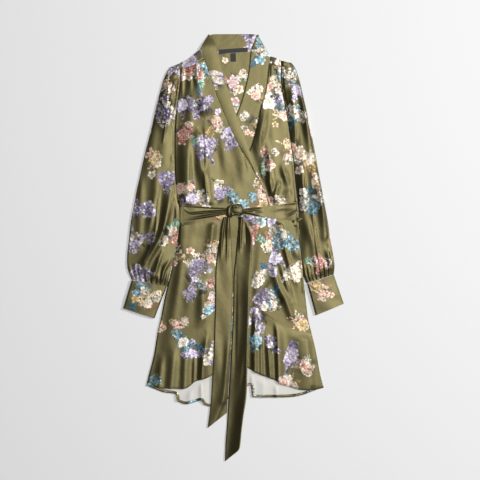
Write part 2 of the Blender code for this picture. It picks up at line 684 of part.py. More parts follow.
def sleeves():
    """Two full sleeves."""
    sleeve("sleeve_right", LEFT_SIDE, RIGHT_SLEEVE_OUTER, RIGHT_SLEEVE_INNER,
           498.0, 318.0, 331.0, RIGHT_SLEEVE_FOLDS)
    sleeve("sleeve_left", RIGHT_SIDE, LEFT_SLEEVE_OUTER, LEFT_SLEEVE_INNER,
           505.0, 334.0, 347.0, LEFT_SLEEVE_FOLDS)


def cuffs():
    """Two cuffs, each a low flat tube."""
    def cuff_top(x, y, u, v):
        return CUFF_HEIGHT + CUFF_BULGE * math.sin(math.pi * u)

    for name, sleeve_end, outer_low, inner_low, gap in (
        ("cuff_right", (RIGHT_SLEEVE_OUTER[-1], RIGHT_SLEEVE_INNER[-1]),
         (-298, -163), (-213, -190), -SEAM),
        ("cuff_left", (LEFT_SLEEVE_OUTER[-1], LEFT_SLEEVE_INNER[-1]),
         (298, -151), (222, -182), SEAM),
    ):
        outer_top, inner_top = beside(sleeve_end, 0, gap), beside(sleeve_end, 1, gap)
        plan = plan_inside([outer_top, inner_top], [outer_low, inner_low],
                           [outer_top, outer_low], [inner_top, inner_low], 8, 4)
        tube(name, plan, cuff_top, CUFF_HEIGHT)


def belt_z(x, y):
    """Underside of the belt where it lies on the wrapped fronts."""
    on_over = over_base(x, y) + BAND_WALL + LAYER_GAP
    on_under = under_base(x, y) + BAND_WALL + LAYER_GAP
    share = smooth(x, 112.0, 140.0)
    return on_over * (1.0 - share) + on_under * share


def belt_rect(x0, x1, low_left, low_right, top_left, top_right, columns, rows):
    """Plan of a belt piece between two ends, each with its own low and top edge."""
    top = [(x0, top_left), (x1, top_right)]
    bottom = [(x0, low_left), (x1, low_right)]
    return plan_inside(top, bottom, [top[0], bottom[0]], [top[1], bottom[1]], columns, rows)


def belt():
    """The belt: behind the back, both fronts, knot, two tails and two side loops."""
    low, top = WAIST_Y - BELT_HALF, WAIST_Y + BELT_HALF
    plan = belt_rect(BELT_LEFT_X + 1, BELT_RIGHT_X - 1, low, low, top, top, 6, 2)
    panel("belt_back", plan, lambda x, y, u, v: 0.0, PLAIN_COLOUR)
    plan = belt_rect(BELT_LEFT_X, KNOT_LEFT_X - SEAM, 65.0, 88.0, 115.0, 108.0, 8, 9)
    panel("belt_front_right", plan,
          lambda x, y, u, v: belt_z(x, y) + ridge_height(BELT_RIGHT_FOLDS, x, y), PLAIN_COLOUR)
    plan = belt_rect(KNOT_RIGHT_X + SEAM, BELT_RIGHT_X, 89.0, 72.0, 104.0, 121.0, 9, 9)
    panel("belt_front_left", plan,
          lambda x, y, u, v: belt_z(x, y) + ridge_height(BELT_LEFT_FOLDS, x, y), PLAIN_COLOUR)


def belt_knot():
    """The knot, a squat rounded mass with a groove where the ends cross."""
    bpy.ops.mesh.primitive_uv_sphere_add(segments=16, ring_count=10, radius=1.0)
    knot = bpy.context.object
    knot.name = "belt_knot"
    half_x = 0.5 * (KNOT_RIGHT_X - KNOT_LEFT_X)
    half_y = 0.5 * (KNOT_TOP_Y - KNOT_LOW_Y)
    middle_x = 0.5 * (KNOT_LEFT_X + KNOT_RIGHT_X)
    middle_y = 0.5 * (KNOT_LOW_Y + KNOT_TOP_Y)
    floor_z = over_base(middle_x, middle_y) + STEP
    for vertex in knot.data.vertices:
        x, y, z = vertex.co
        groove = 1.0 - 0.28 * math.exp(-((x + 0.35) / 0.16) ** 2)
        squat = math.copysign(abs(z) ** 0.6, z) if z else 0.0
        vertex.co.x = (middle_x + half_x * x) * MM
        vertex.co.y = (middle_y + half_y * y * groove) * MM
        vertex.co.z = (floor_z + 0.5 * KNOT_HEIGHT * (1.0 + squat * groove)) * MM
    for collection in knot.users_collection:
        collection.objects.unlink(knot)
    COLLECTION.objects.link(knot)
    knot.data.shade_smooth()
    knot.data.materials.append(
        colour_material("belt_knot_cloth", PLAIN_COLOUR, SATIN_ROUGHNESS))


def tail_z(x, y):
    """Underside of a tail, which leaves the hem and comes down to the floor."""
    fall = smooth(-y, 330.0, 478.0)
    return (over_base(x, y) + BAND_WALL + LAYER_GAP) * (1.0 - fall)


def belt_tails():
    """The two hanging ends of the belt, cut to points."""
    for name, left, right, rows, count in (
        ("belt_tail_right", TAIL_RIGHT_LEFT_EDGE, TAIL_RIGHT_RIGHT_EDGE, TAIL_RIGHT_FOLDS, 20),
        ("belt_tail_left", TAIL_LEFT_LEFT_EDGE, TAIL_LEFT_RIGHT_EDGE, TAIL_LEFT_FOLDS, 24),
    ):
        left, right = rounded(left), rounded(right)
        plan = plan_inside([left[0], right[0]], [left[-1], right[-1]], left, right, 4, count)
        panel(name, plan,
              lambda x, y, u, v, rows=rows: tail_z(x, y) + ridge_height(rows, x, y)
              * smooth(u, 0.0, 0.3) * smooth(1.0 - u, 0.0, 0.3), PLAIN_COLOUR)


def belt_loops():
    """A narrow loop at each side seam that holds the belt."""
    for name, x0 in (("belt_loop_right", -139.0), ("belt_loop_left", 164.0)):
        top, low = WAIST_Y + BELT_HALF + 8.0, WAIST_Y - BELT_HALF - 8.0
        plan = belt_rect(x0, x0 + 6.0, low, low, top, top, 1, 14)

        def loop_z(x, y, u, v):
            over_belt = 1.0 - smooth(abs(y - WAIST_Y), BELT_HALF + 4.0, BELT_HALF + 8.0)
            return belt_z(x, y) + 5.5 * over_belt

        panel(name, plan, loop_z, PLAIN_COLOUR)


for old in list(bpy.data.objects):
    bpy.data.objects.remove(old, do_unlink=True)
COLLECTION = bpy.data.collections.new("wrap_dress")
bpy.context.scene.collection.children.link(COLLECTION)

back_pieces()
neck_pieces()
front_bands()
bodice_fronts()
skirt_fronts()
front_flounces()
sleeves()
cuffs()
belt()
belt_knot()
belt_tails()
belt_loops()
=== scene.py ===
"""The looks of a wrap dress that lies flat: satin cloth, its print, seams and stitches.

Sizes in the tables are millimetres in the frame of the packed model, and meshes are in
metres.  +Y runs from the hem to the neck, and the wearer's right is at -X.
"""
import math

import bpy
import numpy as np
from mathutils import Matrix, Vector


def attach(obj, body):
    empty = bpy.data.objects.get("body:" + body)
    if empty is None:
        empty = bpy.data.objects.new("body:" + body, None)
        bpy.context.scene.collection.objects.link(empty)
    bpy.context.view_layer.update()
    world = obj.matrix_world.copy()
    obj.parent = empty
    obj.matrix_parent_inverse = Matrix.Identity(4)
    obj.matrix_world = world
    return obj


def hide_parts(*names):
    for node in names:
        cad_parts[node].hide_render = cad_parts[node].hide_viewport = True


bl_info = {
    "name": "Wrap dress",
    "version": (1, 0, 0),
    "blender": (4, 5, 0),
    "location": "3D View > Sidebar > Dress",
    "description": "Builds the cloth, the print and the stitches of a wrap dress laid flat",
    "category": "Object",
}

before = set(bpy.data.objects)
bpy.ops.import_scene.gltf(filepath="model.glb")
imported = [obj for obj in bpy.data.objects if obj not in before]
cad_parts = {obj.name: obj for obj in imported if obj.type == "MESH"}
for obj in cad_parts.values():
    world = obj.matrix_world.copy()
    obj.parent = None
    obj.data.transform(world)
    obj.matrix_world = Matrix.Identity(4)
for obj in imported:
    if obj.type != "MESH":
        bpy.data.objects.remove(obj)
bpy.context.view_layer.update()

MM = 0.001

# The solids' layers
WALL = 1.3
BAND_WALL = 2.0
LAYER_GAP = 0.4
SEAM = 0.2
BAND_SEAM = 0.3
ARMHOLE_SEAM = 0.3
STEP = WALL + LAYER_GAP
UNDER_LEVEL = STEP
OVER_LEVEL = UNDER_LEVEL + BAND_WALL + LAYER_GAP

# Heights up the dress
WAIST_Y = 92.0
NECK_Y = 531.0
FACING_Y = 320.0
COLLAR_Y = 577.5
BAND_TOP_Y = 577.0
BAND_EDGE_TOP_Y = 574.0
COLLAR_SIDE_Y = 573.0
SHOULDER_RIGHT_Y = 500.0
SHOULDER_LEFT_Y = 507.0
YOKE_RIGHT_Y = 486.0
YOKE_LEFT_Y = 490.0
YOKE_RIGHT_END_Y = 512.0
YOKE_LEFT_END_Y = 500.0
FLOUNCE_Y = -230.0
HEM_RIGHT_Y = -373.0
HEM_LEFT_Y = -378.0
FACING_RISE_LOW = 235.0
FACING_RISE_TOP = 305.0
SIDE_RISE = 45.0

# Belt
BELT_HALF = 27.0
BELT_LEFT_X = -143.0
BELT_RIGHT_X = 173.0
KNOT_LEFT_X = -20.0
KNOT_RIGHT_X = 27.0
KNOT_HEIGHT = 15.0

# Sleeves and cuffs
SLEEVE_EDGE = 5.0
SLEEVE_DOME = 3.6
CUFF_HEIGHT = 7.6
CUFF_BULGE = 1.6
CUFF_WALL = 1.0         # thickness of the doubled cuffs
CAP_SHARE = 10 / 22    # share of a sleeve's rows that lie beside the armhole

# Outlines, each as x, y from the top down
BODY_LEFT = [
    (-143, 500), (-143.5, 453), (-147, 420), (-152.5, 380), (-157, 340), (-159, 291), (-159, 237),
    (-157, 183), (-150, 129), (-144, 97), (-144, 64), (-150, 21), (-162, -38), (-174, -87),
    (-184, -128), (-196, -190), (-205, -230), (-215, -290), (-228, -341), (-236, -373),
]
BODY_RIGHT = [
    (128, 507), (128, 466), (129.5, 439), (133, 412), (138.5, 385), (145, 350), (153, 291),
    (161, 237), (166, 183), (171, 134), (175, 97), (176, 64), (177, 21), (183, -28),
    (188, -74), (196, -146), (202, -195), (211, -230), (223, -281), (234, -341), (244, -378),
]
OVER_BAND_SEAM = [
    (-67, 577), (-77, 561), (-86, 544), (-89, 537), (-83, 526), (-60, 458), (-39, 399),
    (-14, 338), (3, 300), (19, 271), (41, 234), (62, 194), (81, 161), (93, 124), (104, 86),
]
OVER_BAND_EDGE = [
    (-62, 574), (-52, 556), (-43, 530), (-29, 470), (-14, 424), (1, 378), (16, 335),
    (36, 283), (53, 234), (68, 194), (84, 160), (96, 124), (107, 86),
]
UNDER_BAND_SEAM = [
    (67, 577), (73, 563), (88, 537), (96, 521), (98, 510), (94, 479), (90, 439), (82, 405),
    (73, 375), (65, 338), (52, 286), (26, 223), (-9, 156), (-31, 118), (-42, 86),
]
UNDER_BAND_EDGE = [
    (62, 574), (57, 560), (49, 541), (45, 522), (41, 479), (32, 437), (22, 399), (8, 361),
    (-15, 304), (-47, 223), (-77, 156), (-93, 118), (-105, 86),
]
OVER_SKIRT_SEAM = [
    (77, 91), (66, 43), (45, -20), (12, -87), (-26, -146), (-66, -182), (-90, -196),
    (-117, -209), (-144, -219), (-177, -226), (-205, -230),
]
OVER_HEM = [
    (94, 91), (92, 66), (101, 26), (104, -6), (94, -36), (89, -65), (85, -90), (63, -122),
    (42, -155), (36, -195), (12, -257), (-31, -319), (-66, -349), (-101, -360), (-117, -373),
    (-134, -381), (-158, -380), (-190, -380), (-212, -377), (-236, -373),
]
UNDER_SKIRT_SEAM = [
    (-74, 91), (-61, 43), (-36, -11), (-4, -74), (34, -130), (72, -165), (104, -191),
    (126, -205), (153, -217), (180, -225), (211, -230),
]
UNDER_HEM = [
    (-90, 91), (-90, 70), (-90, -20), (-77, -114), (-47, -195), (-15, -263), (18, -308),
    (47, -330), (77, -345), (99, -352), (115, -360), (128, -368), (153, -376), (180, -383),
    (212, -384), (244, -378),
]
BACK_SKIRT_SEAM = [(-205, -230), (-120, -244), (0, -252), (120, -245), (211, -230)]
BACK_HEM = [
    (-236, -373), (-212, -383), (-190, -391), (-162, -395), (-155, -399), (-152, -414),
    (-144, -419),
    (-128, -423), (-106, -418), (-88, -413), (-84, -417), (-80, -424), (-63, -430), (-36, -422), (-4, -402),
    (23, -384), (43, -373), (47, -376), (50, -398), (54, -404), (77, -405), (112, -405), (153, -404),
    (188, -398), (212, -389), (244, -378),
]
RIGHT_SLEEVE_OUTER = [
    (-168, 490), (-178, 478), (-189, 453), (-198, 421), (-209, 380), (-220, 329),
    (-231, 286), (-242, 242), (-252, 196), (-261, 156), (-269, 113), (-277, 70), (-282, 26),
    (-287, -22), (-286, -55), (-275, -87),
]
RIGHT_SLEEVE_INNER = [
    (-159.9, 318), (-160.2, 270), (-159.8, 237), (-157.9, 183), (-150.9, 129),
    (-145.0, 97), (-145.0, 64), (-151.5, 21), (-164, -38), (-175, -87), (-180, -104),
]
LEFT_SLEEVE_OUTER = [
    (155, 501), (164, 490), (172, 473), (181, 442), (189, 407), (197, 372),
    (205, 329), (215, 286), (223, 242), (231, 199), (239, 156), (247, 113), (255, 70),
    (261, 26), (269, -17), (273, -47), (271, -73),
]
LEFT_SLEEVE_INNER = [
    (149.8, 334), (155.3, 285), (163, 237), (168, 183), (173.5, 134), (177.5, 97),
    (178, 64), (178.8, 21), (184.8, -28), (190, -74), (199, -96),
]
TAIL_RIGHT_LEFT_EDGE = [
    (-27, 83), (-34, 61), (-38, 26), (-45, -20), (-49, -74), (-51, -195), (-55, -303),
    (-61, -411), (-70, -487),
]
TAIL_RIGHT_RIGHT_EDGE = [
    (-9, 83), (-7, 61), (-6, 21), (-4, -20), (-2.4, -74), (-2.6, -141), (-4.2, -195),
    (-9.5, -303), (-16, -411), (-18, -446),
]
TAIL_LEFT_LEFT_EDGE = [
    (12, 83), (13, 61), (9, 21), (5, -28), (0, -74), (-0.8, -141), (-2.4, -195), (-7.6, -303),
    (-14, -411), (-19, -492), (-22, -533), (-23, -577.5),
]
TAIL_LEFT_RIGHT_EDGE = [
    (26, 83), (36, 64), (47, 43), (51, 21), (49, -20), (45, -87), (41, -195), (38, -303),
    (35, -398), (28, -446), (22, -492), (18, -533), (13, -546),
]

# Main folds, as the solids have them: ends, half width of the ridge and its height
MAIN_FOLDS = {
    # x0, y0, x1, y1, width, height
    "front_right": [
        (-130, 480, -112, 320, 11, 6.0), (-102, 495, -84, 350, 10, 4.0),
        (-106, 320, -103, 125, 12, 7.0), (-58, 350, -55, 125, 13, 6.5),
        (-6, 250, 10, 125, 11, 4.5), (-138, 300, -132, 125, 8, 3.5),
        (-117, 60, -123, -200, 13, 6.0), (-70, 55, -78, -140, 10, 4.0),
    ],
    "front_left": [
        (104, 345, 116, 125, 11, 8.0), (126, 480, 131, 320, 10, 4.5),
        (140, 264, 153, 125, 10, 5.0), (74, 280, 84, 130, 9, 4.0),
        (147, 60, 180, -141, 11, 7.0), (112, 40, 155, -180, 11, 6.0),
        (160, 40, 186, -60, 9, 3.0),
    ],
    "sleeve_right": [
        (-155, 439, -188, 291, 12, 6.0), (-198, 390, -236, 183, 12, 6.0),
        (-248, 183, -256, -10, 10, 7.0), (-209, 230, -213, -10, 11, 8.0),
        (-180, 190, -190, -38, 10, 6.0),
    ],
    "sleeve_left": [
        (158, 439, 184, 264, 11, 6.0), (190, 390, 223, 183, 12, 6.0),
        (190, 190, 196, -38, 10, 6.0), (214, 230, 218, -38, 11, 7.5),
        (243, 190, 252, -30, 11, 7.0),
    ],
}

# Creases that the solids leave out, on top of the main folds.  A fall is negative.  West
# and east are the half widths on the two sides of a crease that runs down; start and end
# are the shares of its height that it keeps at its ends.
CREASES = {
    # height, west, east, start, end, points
    "front_bodice_right": [
        (1.5, 5.6, 5, 1, 0, ((-139, 496), (-138, 442), (-139, 388))),
        (1.6, 7.7, 6, 1, 0, ((-119, 499), (-116, 453), (-117, 410))),
        (3.5, 10.3, 9, 1, 0.1, ((-101, 507), (-97, 469), (-91, 415))),
        (5.5, 12.8, 10, 0.1, 0, ((-84, 410), (-79, 377), (-76, 345))),
        (6.8, 23.1, 12, 0, 1, ((-123, 323), (-124, 210), (-123, 118))),
        (6.1, 15.4, 8, 0.5, 0.3, ((-93, 302), (-89, 264), (-87, 223), (-78, 178), (-71, 134))),
        (4.5, 6.2, 12, 0.1, 1, ((-77, 340), (-74, 237), (-74, 169), (-70, 134), (-64, 110))),
        (1.8, 10.3, 12, 0, 0, ((-59, 318), (-56, 242), (-45, 167))),
        (2.6, 15.4, 16, 0, 0, ((-44, 340), (-28, 264), (-11, 172))),
        (1.1, 5, 9, 0, 0, ((-74, 215), (-55, 188), (-31, 175), (-12, 172))),
        (0.7, 4, 6, 0, 0, ((-66, 167), (-53, 151), (-34, 142))),
        (1.8, 4.1, 4, 0, 1, ((-129, 153), (-129, 110))),
        (2.1, 15.4, 14, 0, 0, ((20, 264), (26, 210), (23, 156))),
        (3.2, 26, 3, 0, 0, ((-7, 350), (18, 264), (42, 194))),
        (2.1, 10.3, 6, 0, 1, ((-8, 161), (1, 113))),
    ],
    "front_bodice_left": [
        (6.1, 14.1, 10, 0.2, 0, ((90, 388), (79, 334), (71, 286), (72, 242))),
        (6, 8.7, 8, 0.2, 1, ((89, 286), (97, 248), (99, 196), (97, 118))),
        (2.6, 5.1, 3.5, 0, 1, ((70, 229), (77, 191), (85, 129))),
        (3.5, 8.2, 8, 0, 0, ((125, 237), (137, 202), (152, 156))),
        (4.7, 8.7, 6, 0, 1, ((126, 194), (118, 161), (110, 121))),
        (2.4, 5.1, 3.4, 0, 0, ((106, 205), (108, 172), (104, 151))),
        (1.8, 4.1, 3, 0, 1, ((116, 145), (120, 118))),
        (3.3, 7.7, 3, 0.5, 1, ((153, 399), (161, 318), (169, 237), (177, 118))),
        (1.4, 4.1, 3, 1, 0, ((104, 491), (103, 453))),
        (1.6, 4.6, 3, 1, 0, ((121, 493), (123, 448))),
        (1.4, 4.1, 3, 1, 0, ((137, 496), (139, 448))),
        (1.9, 15.4, 8, 0, 0.4, ((147, 167), (155, 129))),
    ],
    "front_skirt_right": [
        (2.8, 11.5, 12, 1, 0, ((-54, 72), (-59, 16), (-66, -60))),
        (2.4, 3, 42, 0.8, 0, ((-142, 72), (-147, -38))),
        (2.6, 12.8, 8, 0, 0.3, ((-49, -38), (-52, -114), (-60, -155))),
        (2.2, 12.8, 12, 0.6, 0.3, ((-133, 59), (-146, -74), (-168, -211))),
        (2, 23.1, 22, 0, 0, ((-101, -38), (-117, -195))),
        (4.8, 15.4, 8, 0, 0.4, ((-80, -76), (-82, -141), (-84, -211))),
    ],
    "front_skirt_left": [
        (4.1, 8.2, 7, 1, 0, ((122, 72), (133, 26), (155, -60), (172, -125))),
        (3.9, 8.2, 7, 0, 0.2, ((122, -25), (139, -82), (161, -146))),
        (4.9, 10.3, 9, 0, 0.6, ((106, -28), (119, -95), (141, -141), (157, -184))),
        (3.3, 12.8, 9, 0, 0, ((164, 10), (178, -38))),
        (3.3, 7.7, 4, 1, 0.5, ((180, 72), (188, -6), (192, -114))),
        (1.2, 4.1, 6, 0, 0, ((165, -65), (177, -114))),
        (1.3, 5.1, 4, 1, 0, ((91, 72), (102, 43))),
    ],
    "flounce_right": [
        (6.6, 10.3, 9, 0.1, 1, ((-66, -230), (-76, -276), (-83, -319), (-84, -368))),
        (3.2, 10.3, 12, 0, 1, ((-121, -233), (-129, -292), (-132, -379))),
        (1.8, 5.1, 5, 0, 1, ((-104, -276), (-107, -368))),
        (3.3, 12.8, 12, 0, 1, ((-157, -249), (-170, -389))),
        (2.6, 7.7, 6, 0.3, 1, ((-55, -222), (-61, -335))),
        (2.2, 10.3, 9, 0, 1, ((-191, -276), (-202, -384))),
    ],
    "flounce_left": [
        (5, 6.2, 16, 0.2, 1, ((113, -173), (119, -249), (122, -365))),
        (4, 7.7, 6, 0, 1, ((89, -222), (95, -281), (100, -352))),
        (4.4, 10.3, 8, 0.6, 1, ((59, -157), (57, -249), (57, -335))),
        (1.9, 6.2, 5, 0, 1, ((73, -190), (76, -341))),
        (6.2, 35.9, 16, 0.7, 0.8, ((189, -206), (208, -368))),
        (2.6, 15.4, 10, 0.5, 1, ((217, -222), (239, -373))),
        (2.6, 7.7, 5, 0, 0, ((69, 10), (58, -60))),
        (2.4, 6.2, 4, 0, 0.3, ((81, -38), (68, -114))),
    ],
    "sleeve_right": [
        (7.3, 15.4, 8, 0.6, 0, ((-177, 437), (-182, 367), (-196, 307))),
        (3.4, 3.6, 3.6, 0.6, 0.2, ((-161, 442), (-177, 356), (-190, 286))),
        (4, 7.7, 3, 0.5, 0.2, ((-146, 442), (-154, 372), (-158, 291))),
        (8.1, 11.8, 8, 0.2, 0.6, ((-163, 205), (-166, 161), (-175, 107), (-186, 59), (-201, 18),
                                  (-225, -22), (-244, -55))),
        (1.7, 3.3, 2, 0, 0.8, ((-193, 178), (-204, 107), (-209, 53), (-223, 5), (-242, -38))),
        (2.6, 10.3, 6, 0, 0.2, ((-213, 156), (-220, 88), (-234, 21))),
        (3.9, 9, 3, 0.3, 0.2, ((-144, 167), (-145, 91), (-152, 32))),
        (4.6, 7.7, 3.4, 0.2, 1, ((-192, -11), (-201, -38), (-212, -76))),
        (4.3, 6.7, 3, 0.2, 1, ((-165, -28), (-183, -55), (-194, -87))),
        (2.6, 5.1, 2.6, 0.2, 1, ((-153, -38), (-168, -65), (-179, -95))),
        (2.4, 4.6, 2.6, 0, 1, ((-226, -33), (-232, -60), (-236, -84))),
        (2.4, 4.6, 2.6, 0, 1, ((-252, -38), (-254, -60), (-251, -84))),
        (1.7, 3.8, 2.2, 0, 1, ((-266, -38), (-263, -60), (-259, -79))),
        (2.6, 7.7, 4, 0, 0.4, ((-158, 264), (-161, 221))),
        (5, 15, 2.5, 0.3, 0.2, ((-142, 340), (-142, 183), (-147, 21))),
    ],
    "sleeve_left": [
        (4.5, 11.5, 5, 0.6, 0.6, ((159, 410), (163, 367), (167, 296))),
        (6.1, 12.8, 6, 0, 0.5, ((182, 248), (187, 178), (191, 113))),
        (10.2, 11.8, 4, 0.6, 0.2, ((185, 442), (192, 388), (199, 342), (205, 296), (211, 259))),
        (2, 2, 3, 0.4, 0.2, ((188, 421), (198, 367), (211, 296), (222, 237))),
        (11.3, 15.4, 5, 0.1, 0.3, ((223, 232), (234, 169), (243, 107), (250, 32))),
        (2.3, 3.8, 3, 0.3, 1, ((213, 97), (223, 16), (231, -33), (238, -71))),
        (4.6, 12.8, 9, 0, 0.2, ((197, 91), (205, 43), (216, -6))),
        (4.6, 7.7, 3, 0, 0.4, ((252, 5), (259, -28), (263, -55))),
        (3.3, 7.7, 3, 0, 0.6, ((220, -22), (227, -55))),
        (2.1, 4.1, 2.6, 0, 1, ((188, -38), (193, -76))),
        (2.1, 4.1, 2.6, 0, 1, ((204, -49), (209, -84))),
        (2.1, 4.1, 2.6, 0, 1, ((246, -38), (250, -76))),
        (2.4, 4.6, 3, 0, 1, ((267, -11), (268, -71))),
    ],
    "back_flounce": [
        (3.4, 6, 3, 0.3, 1, ((-154, -368), (-153, -419))),
        (3.8, 7, 2.6, 0.3, 1, ((-87, -346), (-85, -416))),
        (2, 8, 6, 0.2, 1, ((-117, -368), (-117, -427))),
        (3.6, 3, 7, 0.3, 1, ((48, -325), (48, -406))),
        (3, 7, 2.6, 0.2, 1, ((117, -346), (117, -406))),
        (1.6, 9, 6, 0.2, 1, ((82, -335), (80, -406))),
        (1.4, 6, 5, 0.2, 1, ((169, -368), (171, -403))),
    ],
    "cuff_left": [
        (-1.5, 1, 1, 1, 0.3, ((198, -99), (239, -126))),
    ],
}

# Print: groups of flowers that chance places over each piece, the same mix on all of them
GROUP_GAP = 72.0        # side in mm of the cloth that each group has to itself
GROUP_SPREAD = 15.0     # how far its blossoms lie round it
CHOICES = 4             # places drawn for each group, of which the loneliest is kept
GROUPS = [
    # leaves beneath, blossoms, trailing motif and its colours
    ("plum", ("cream", "ivory", "peach"), "sprig", "ochre"),
    ("dark", ("lilac", "violet", "ivory"), "raceme", "lilac"),
    ("sage", ("sky", "sky", "ivory"), "spray", "teal"),
    ("dark", ("pink", "coral", "cream"), "spray", "mint"),
    ("rust", ("ochre", "peach", "cream"), "sprig", "cream"),
    ("plum", ("violet", "pearl", "lilac"), "raceme", "violet"),
]

# Colours of the motifs, as display red, green and blue: main, second, centre or stem
INKS = {
    "cream": ((240, 230, 208), (176, 146, 116), (150, 120, 72)),
    "ivory": ((246, 240, 228), (186, 172, 152), (176, 148, 92)),
    "peach": ((238, 208, 190), (186, 132, 112), (160, 100, 76)),
    "coral": ((206, 142, 124), (134, 74, 62), (226, 204, 176)),
    "pink": ((230, 204, 204), (178, 134, 138), (210, 172, 106)),
    "lilac": ((210, 200, 216), (140, 124, 156), (226, 220, 196)),
    "pearl": ((228, 222, 236), (164, 150, 188), (220, 194, 124)),
    "violet": ((146, 132, 164), (82, 70, 104), (204, 192, 212)),
    "sky": ((156, 198, 208), (70, 116, 134), (224, 230, 212)),
    "teal": ((72, 120, 136), (28, 62, 80), (138, 186, 194)),
    "mint": ((168, 202, 178), (88, 132, 112), (60, 92, 70)),
    "sage": ((122, 130, 98), (80, 90, 62), (52, 58, 38)),
    "ochre": ((204, 180, 124), (148, 118, 66), (104, 82, 42)),
    "rust": ((140, 98, 60), (90, 58, 36), (196, 166, 122)),
    "plum": ((62, 48, 48), (42, 34, 32), (86, 70, 78)),
    "dark": ((48, 46, 34), (34, 34, 28), (70, 72, 50)),
}


# Lines and plans

def smooth(value, low, high):
    """Go from 0 at the low value to 1 at the high one, level at both ends."""
    share = np.clip((value - low) / (high - low), 0.0, 1.0)
    return share * share * (3.0 - 2.0 * share)


def rounded(points, steps=8):
    """Run a smooth line through hand-set points."""
    ends = np.array([points[0], *points, points[-1]], float)
    t = (np.arange(steps) / steps)[:, None]
    spans = []
    for b, s, e, a in zip(ends, ends[1:], ends[2:], ends[3:]):
        spans.append(0.5 * (2 * s + (e - b) * t + (2 * b - 5 * s + 4 * e - a) * t * t
                            + (3 * s - b - 3 * e + a) * t ** 3))
    return np.vstack(spans + [ends[-1:]])


def x_at(line, y):
    """X of a falling line at the heights y."""
    lowest = np.minimum.accumulate(line[:, 1])
    keep = np.concatenate(([True], line[1:, 1] < lowest[:-1]))
    kept = line[keep][::-1]
    return np.interp(y, kept[:, 1], kept[:, 0])


def between(line, top_y, low_y):
    """Cut the stretch of a falling line between two heights."""
    middle = line[(line[:, 1] < top_y) & (line[:, 1] > low_y)]
    ends = [[float(x_at(line, y)), y] for y in (top_y, low_y)]
    return np.vstack([ends[:1], middle, ends[1:]])


def moved(line, dx, dy=0.0):
    """Shift a line."""
    return np.asarray(line, float) + (dx, dy)


def length_of(line):
    """Length of a line."""
    return float(np.hypot(*np.diff(np.asarray(line, float), axis=0).T).sum())


def spaced(line, count):
    """Place count + 1 points along a line at equal lengths."""
    line = np.asarray(line, float)
    along = np.concatenate(([0.0], np.cumsum(np.hypot(*np.diff(line, axis=0).T))))
    targets = np.linspace(0.0, along[-1], count + 1)
    return np.stack([np.interp(targets, along, line[:, k]) for k in (0, 1)], axis=1)


def plan_inside(top, bottom, left, right, spacing):
    """Fill four border lines with a grid, as a Coons patch.  Gives x, y, u and v."""
    columns = max(2, round(max(length_of(top), length_of(bottom)) / spacing))
    rows = max(2, round(max(length_of(left), length_of(right)) / spacing))
    top, bottom = spaced(top, columns), spaced(bottom, columns)
    left, right = spaced(left, rows), spaced(right, rows)
    u, v = np.meshgrid(np.linspace(0, 1, columns + 1), np.linspace(0, 1, rows + 1))
    us, vs = u[..., None], v[..., None]
    grid = ((1 - vs) * top[None] + vs * bottom[None] + (1 - us) * left[:, None]
            + us * right[:, None] - (1 - us) * (1 - vs) * top[0] - us * (1 - vs) * top[-1]
            - (1 - us) * vs * bottom[0] - us * vs * bottom[-1])
    return grid[..., 0], grid[..., 1], u, v


LEFT_SIDE = rounded(BODY_LEFT)
RIGHT_SIDE = rounded(BODY_RIGHT)
OVER_SEAM_LINE = rounded(OVER_BAND_SEAM)
OVER_EDGE_LINE = rounded(OVER_BAND_EDGE)
UNDER_SEAM_LINE = rounded(UNDER_BAND_SEAM)
UNDER_EDGE_LINE = rounded(UNDER_BAND_EDGE)
OVER_HEM_LINE = rounded(OVER_HEM)
TAILS_LEFT_LINE = rounded(TAIL_RIGHT_LEFT_EDGE)
TAILS_RIGHT_LINE = rounded(TAIL_LEFT_RIGHT_EDGE)


# Heights of the layers

def ridge_height(folds, x, y):
    """Add up the main folds at each place."""
    total = np.zeros_like(x)
    for x0, y0, x1, y1, width, height in folds:
        length = math.hypot(x1 - x0, y1 - y0)
        along = ((x - x0) * (x1 - x0) + (y - y0) * (y1 - y0)) / length ** 2
        aside = ((x - x0) * (y1 - y0) - (y - y0) * (x1 - x0)) / length
        fade = smooth(along, -0.1, 0.2) * (1.0 - smooth(along, 0.8, 1.1))
        total += height * fade * np.exp(-(aside / width) ** 2)
    return total


def crease_height(rows, x, y):
    """Add up fine creases at each place: soft ridges and troughs along bent lines."""
    total = np.zeros_like(x)
    for height, west, east, start, end, points in rows:
        line = rounded(points, 4) if len(points) > 2 else np.array(points, float)
        steps = np.hypot(*np.diff(line, axis=0).T)
        whole = steps.sum()
        nearest = np.full_like(x, 1e9)
        aside, along = np.zeros_like(x), np.zeros_like(x)
        passed = 0.0
        for (x0, y0), (x1, y1), step in zip(line, line[1:], steps):
            t = np.clip(((x - x0) * (x1 - x0) + (y - y0) * (y1 - y0)) / step ** 2, 0.0, 1.0)
            gap = np.hypot(x - x0 - t * (x1 - x0), y - y0 - t * (y1 - y0))
            side = (x - x0) * (y1 - y0) - (y - y0) * (x1 - x0)
            closer = gap < nearest
            nearest = np.where(closer, gap, nearest)
            aside = np.where(closer, np.where(side > 0, gap / west, gap / east), aside)
            along = np.where(closer, (passed + t * step) / whole, along)
            passed += step
        fade = start + (1.0 - start) * smooth(along, 0.0, 0.5)
        fade *= end + (1.0 - end) * (1.0 - smooth(along, 0.5, 1.0))
        total += height * fade * np.exp(-aside ** 2)
    return total


def clear_of_belt(y):
    """Press the folds flat under the belt."""
    return smooth(np.abs(y - WAIST_Y), BELT_HALF + 3.0, BELT_HALF + 30.0)


def near_belt(y):
    """Let the fine creases run on up to the belt's edge."""
    return smooth(np.abs(y - WAIST_Y), BELT_HALF - 6.0, BELT_HALF + 6.0)


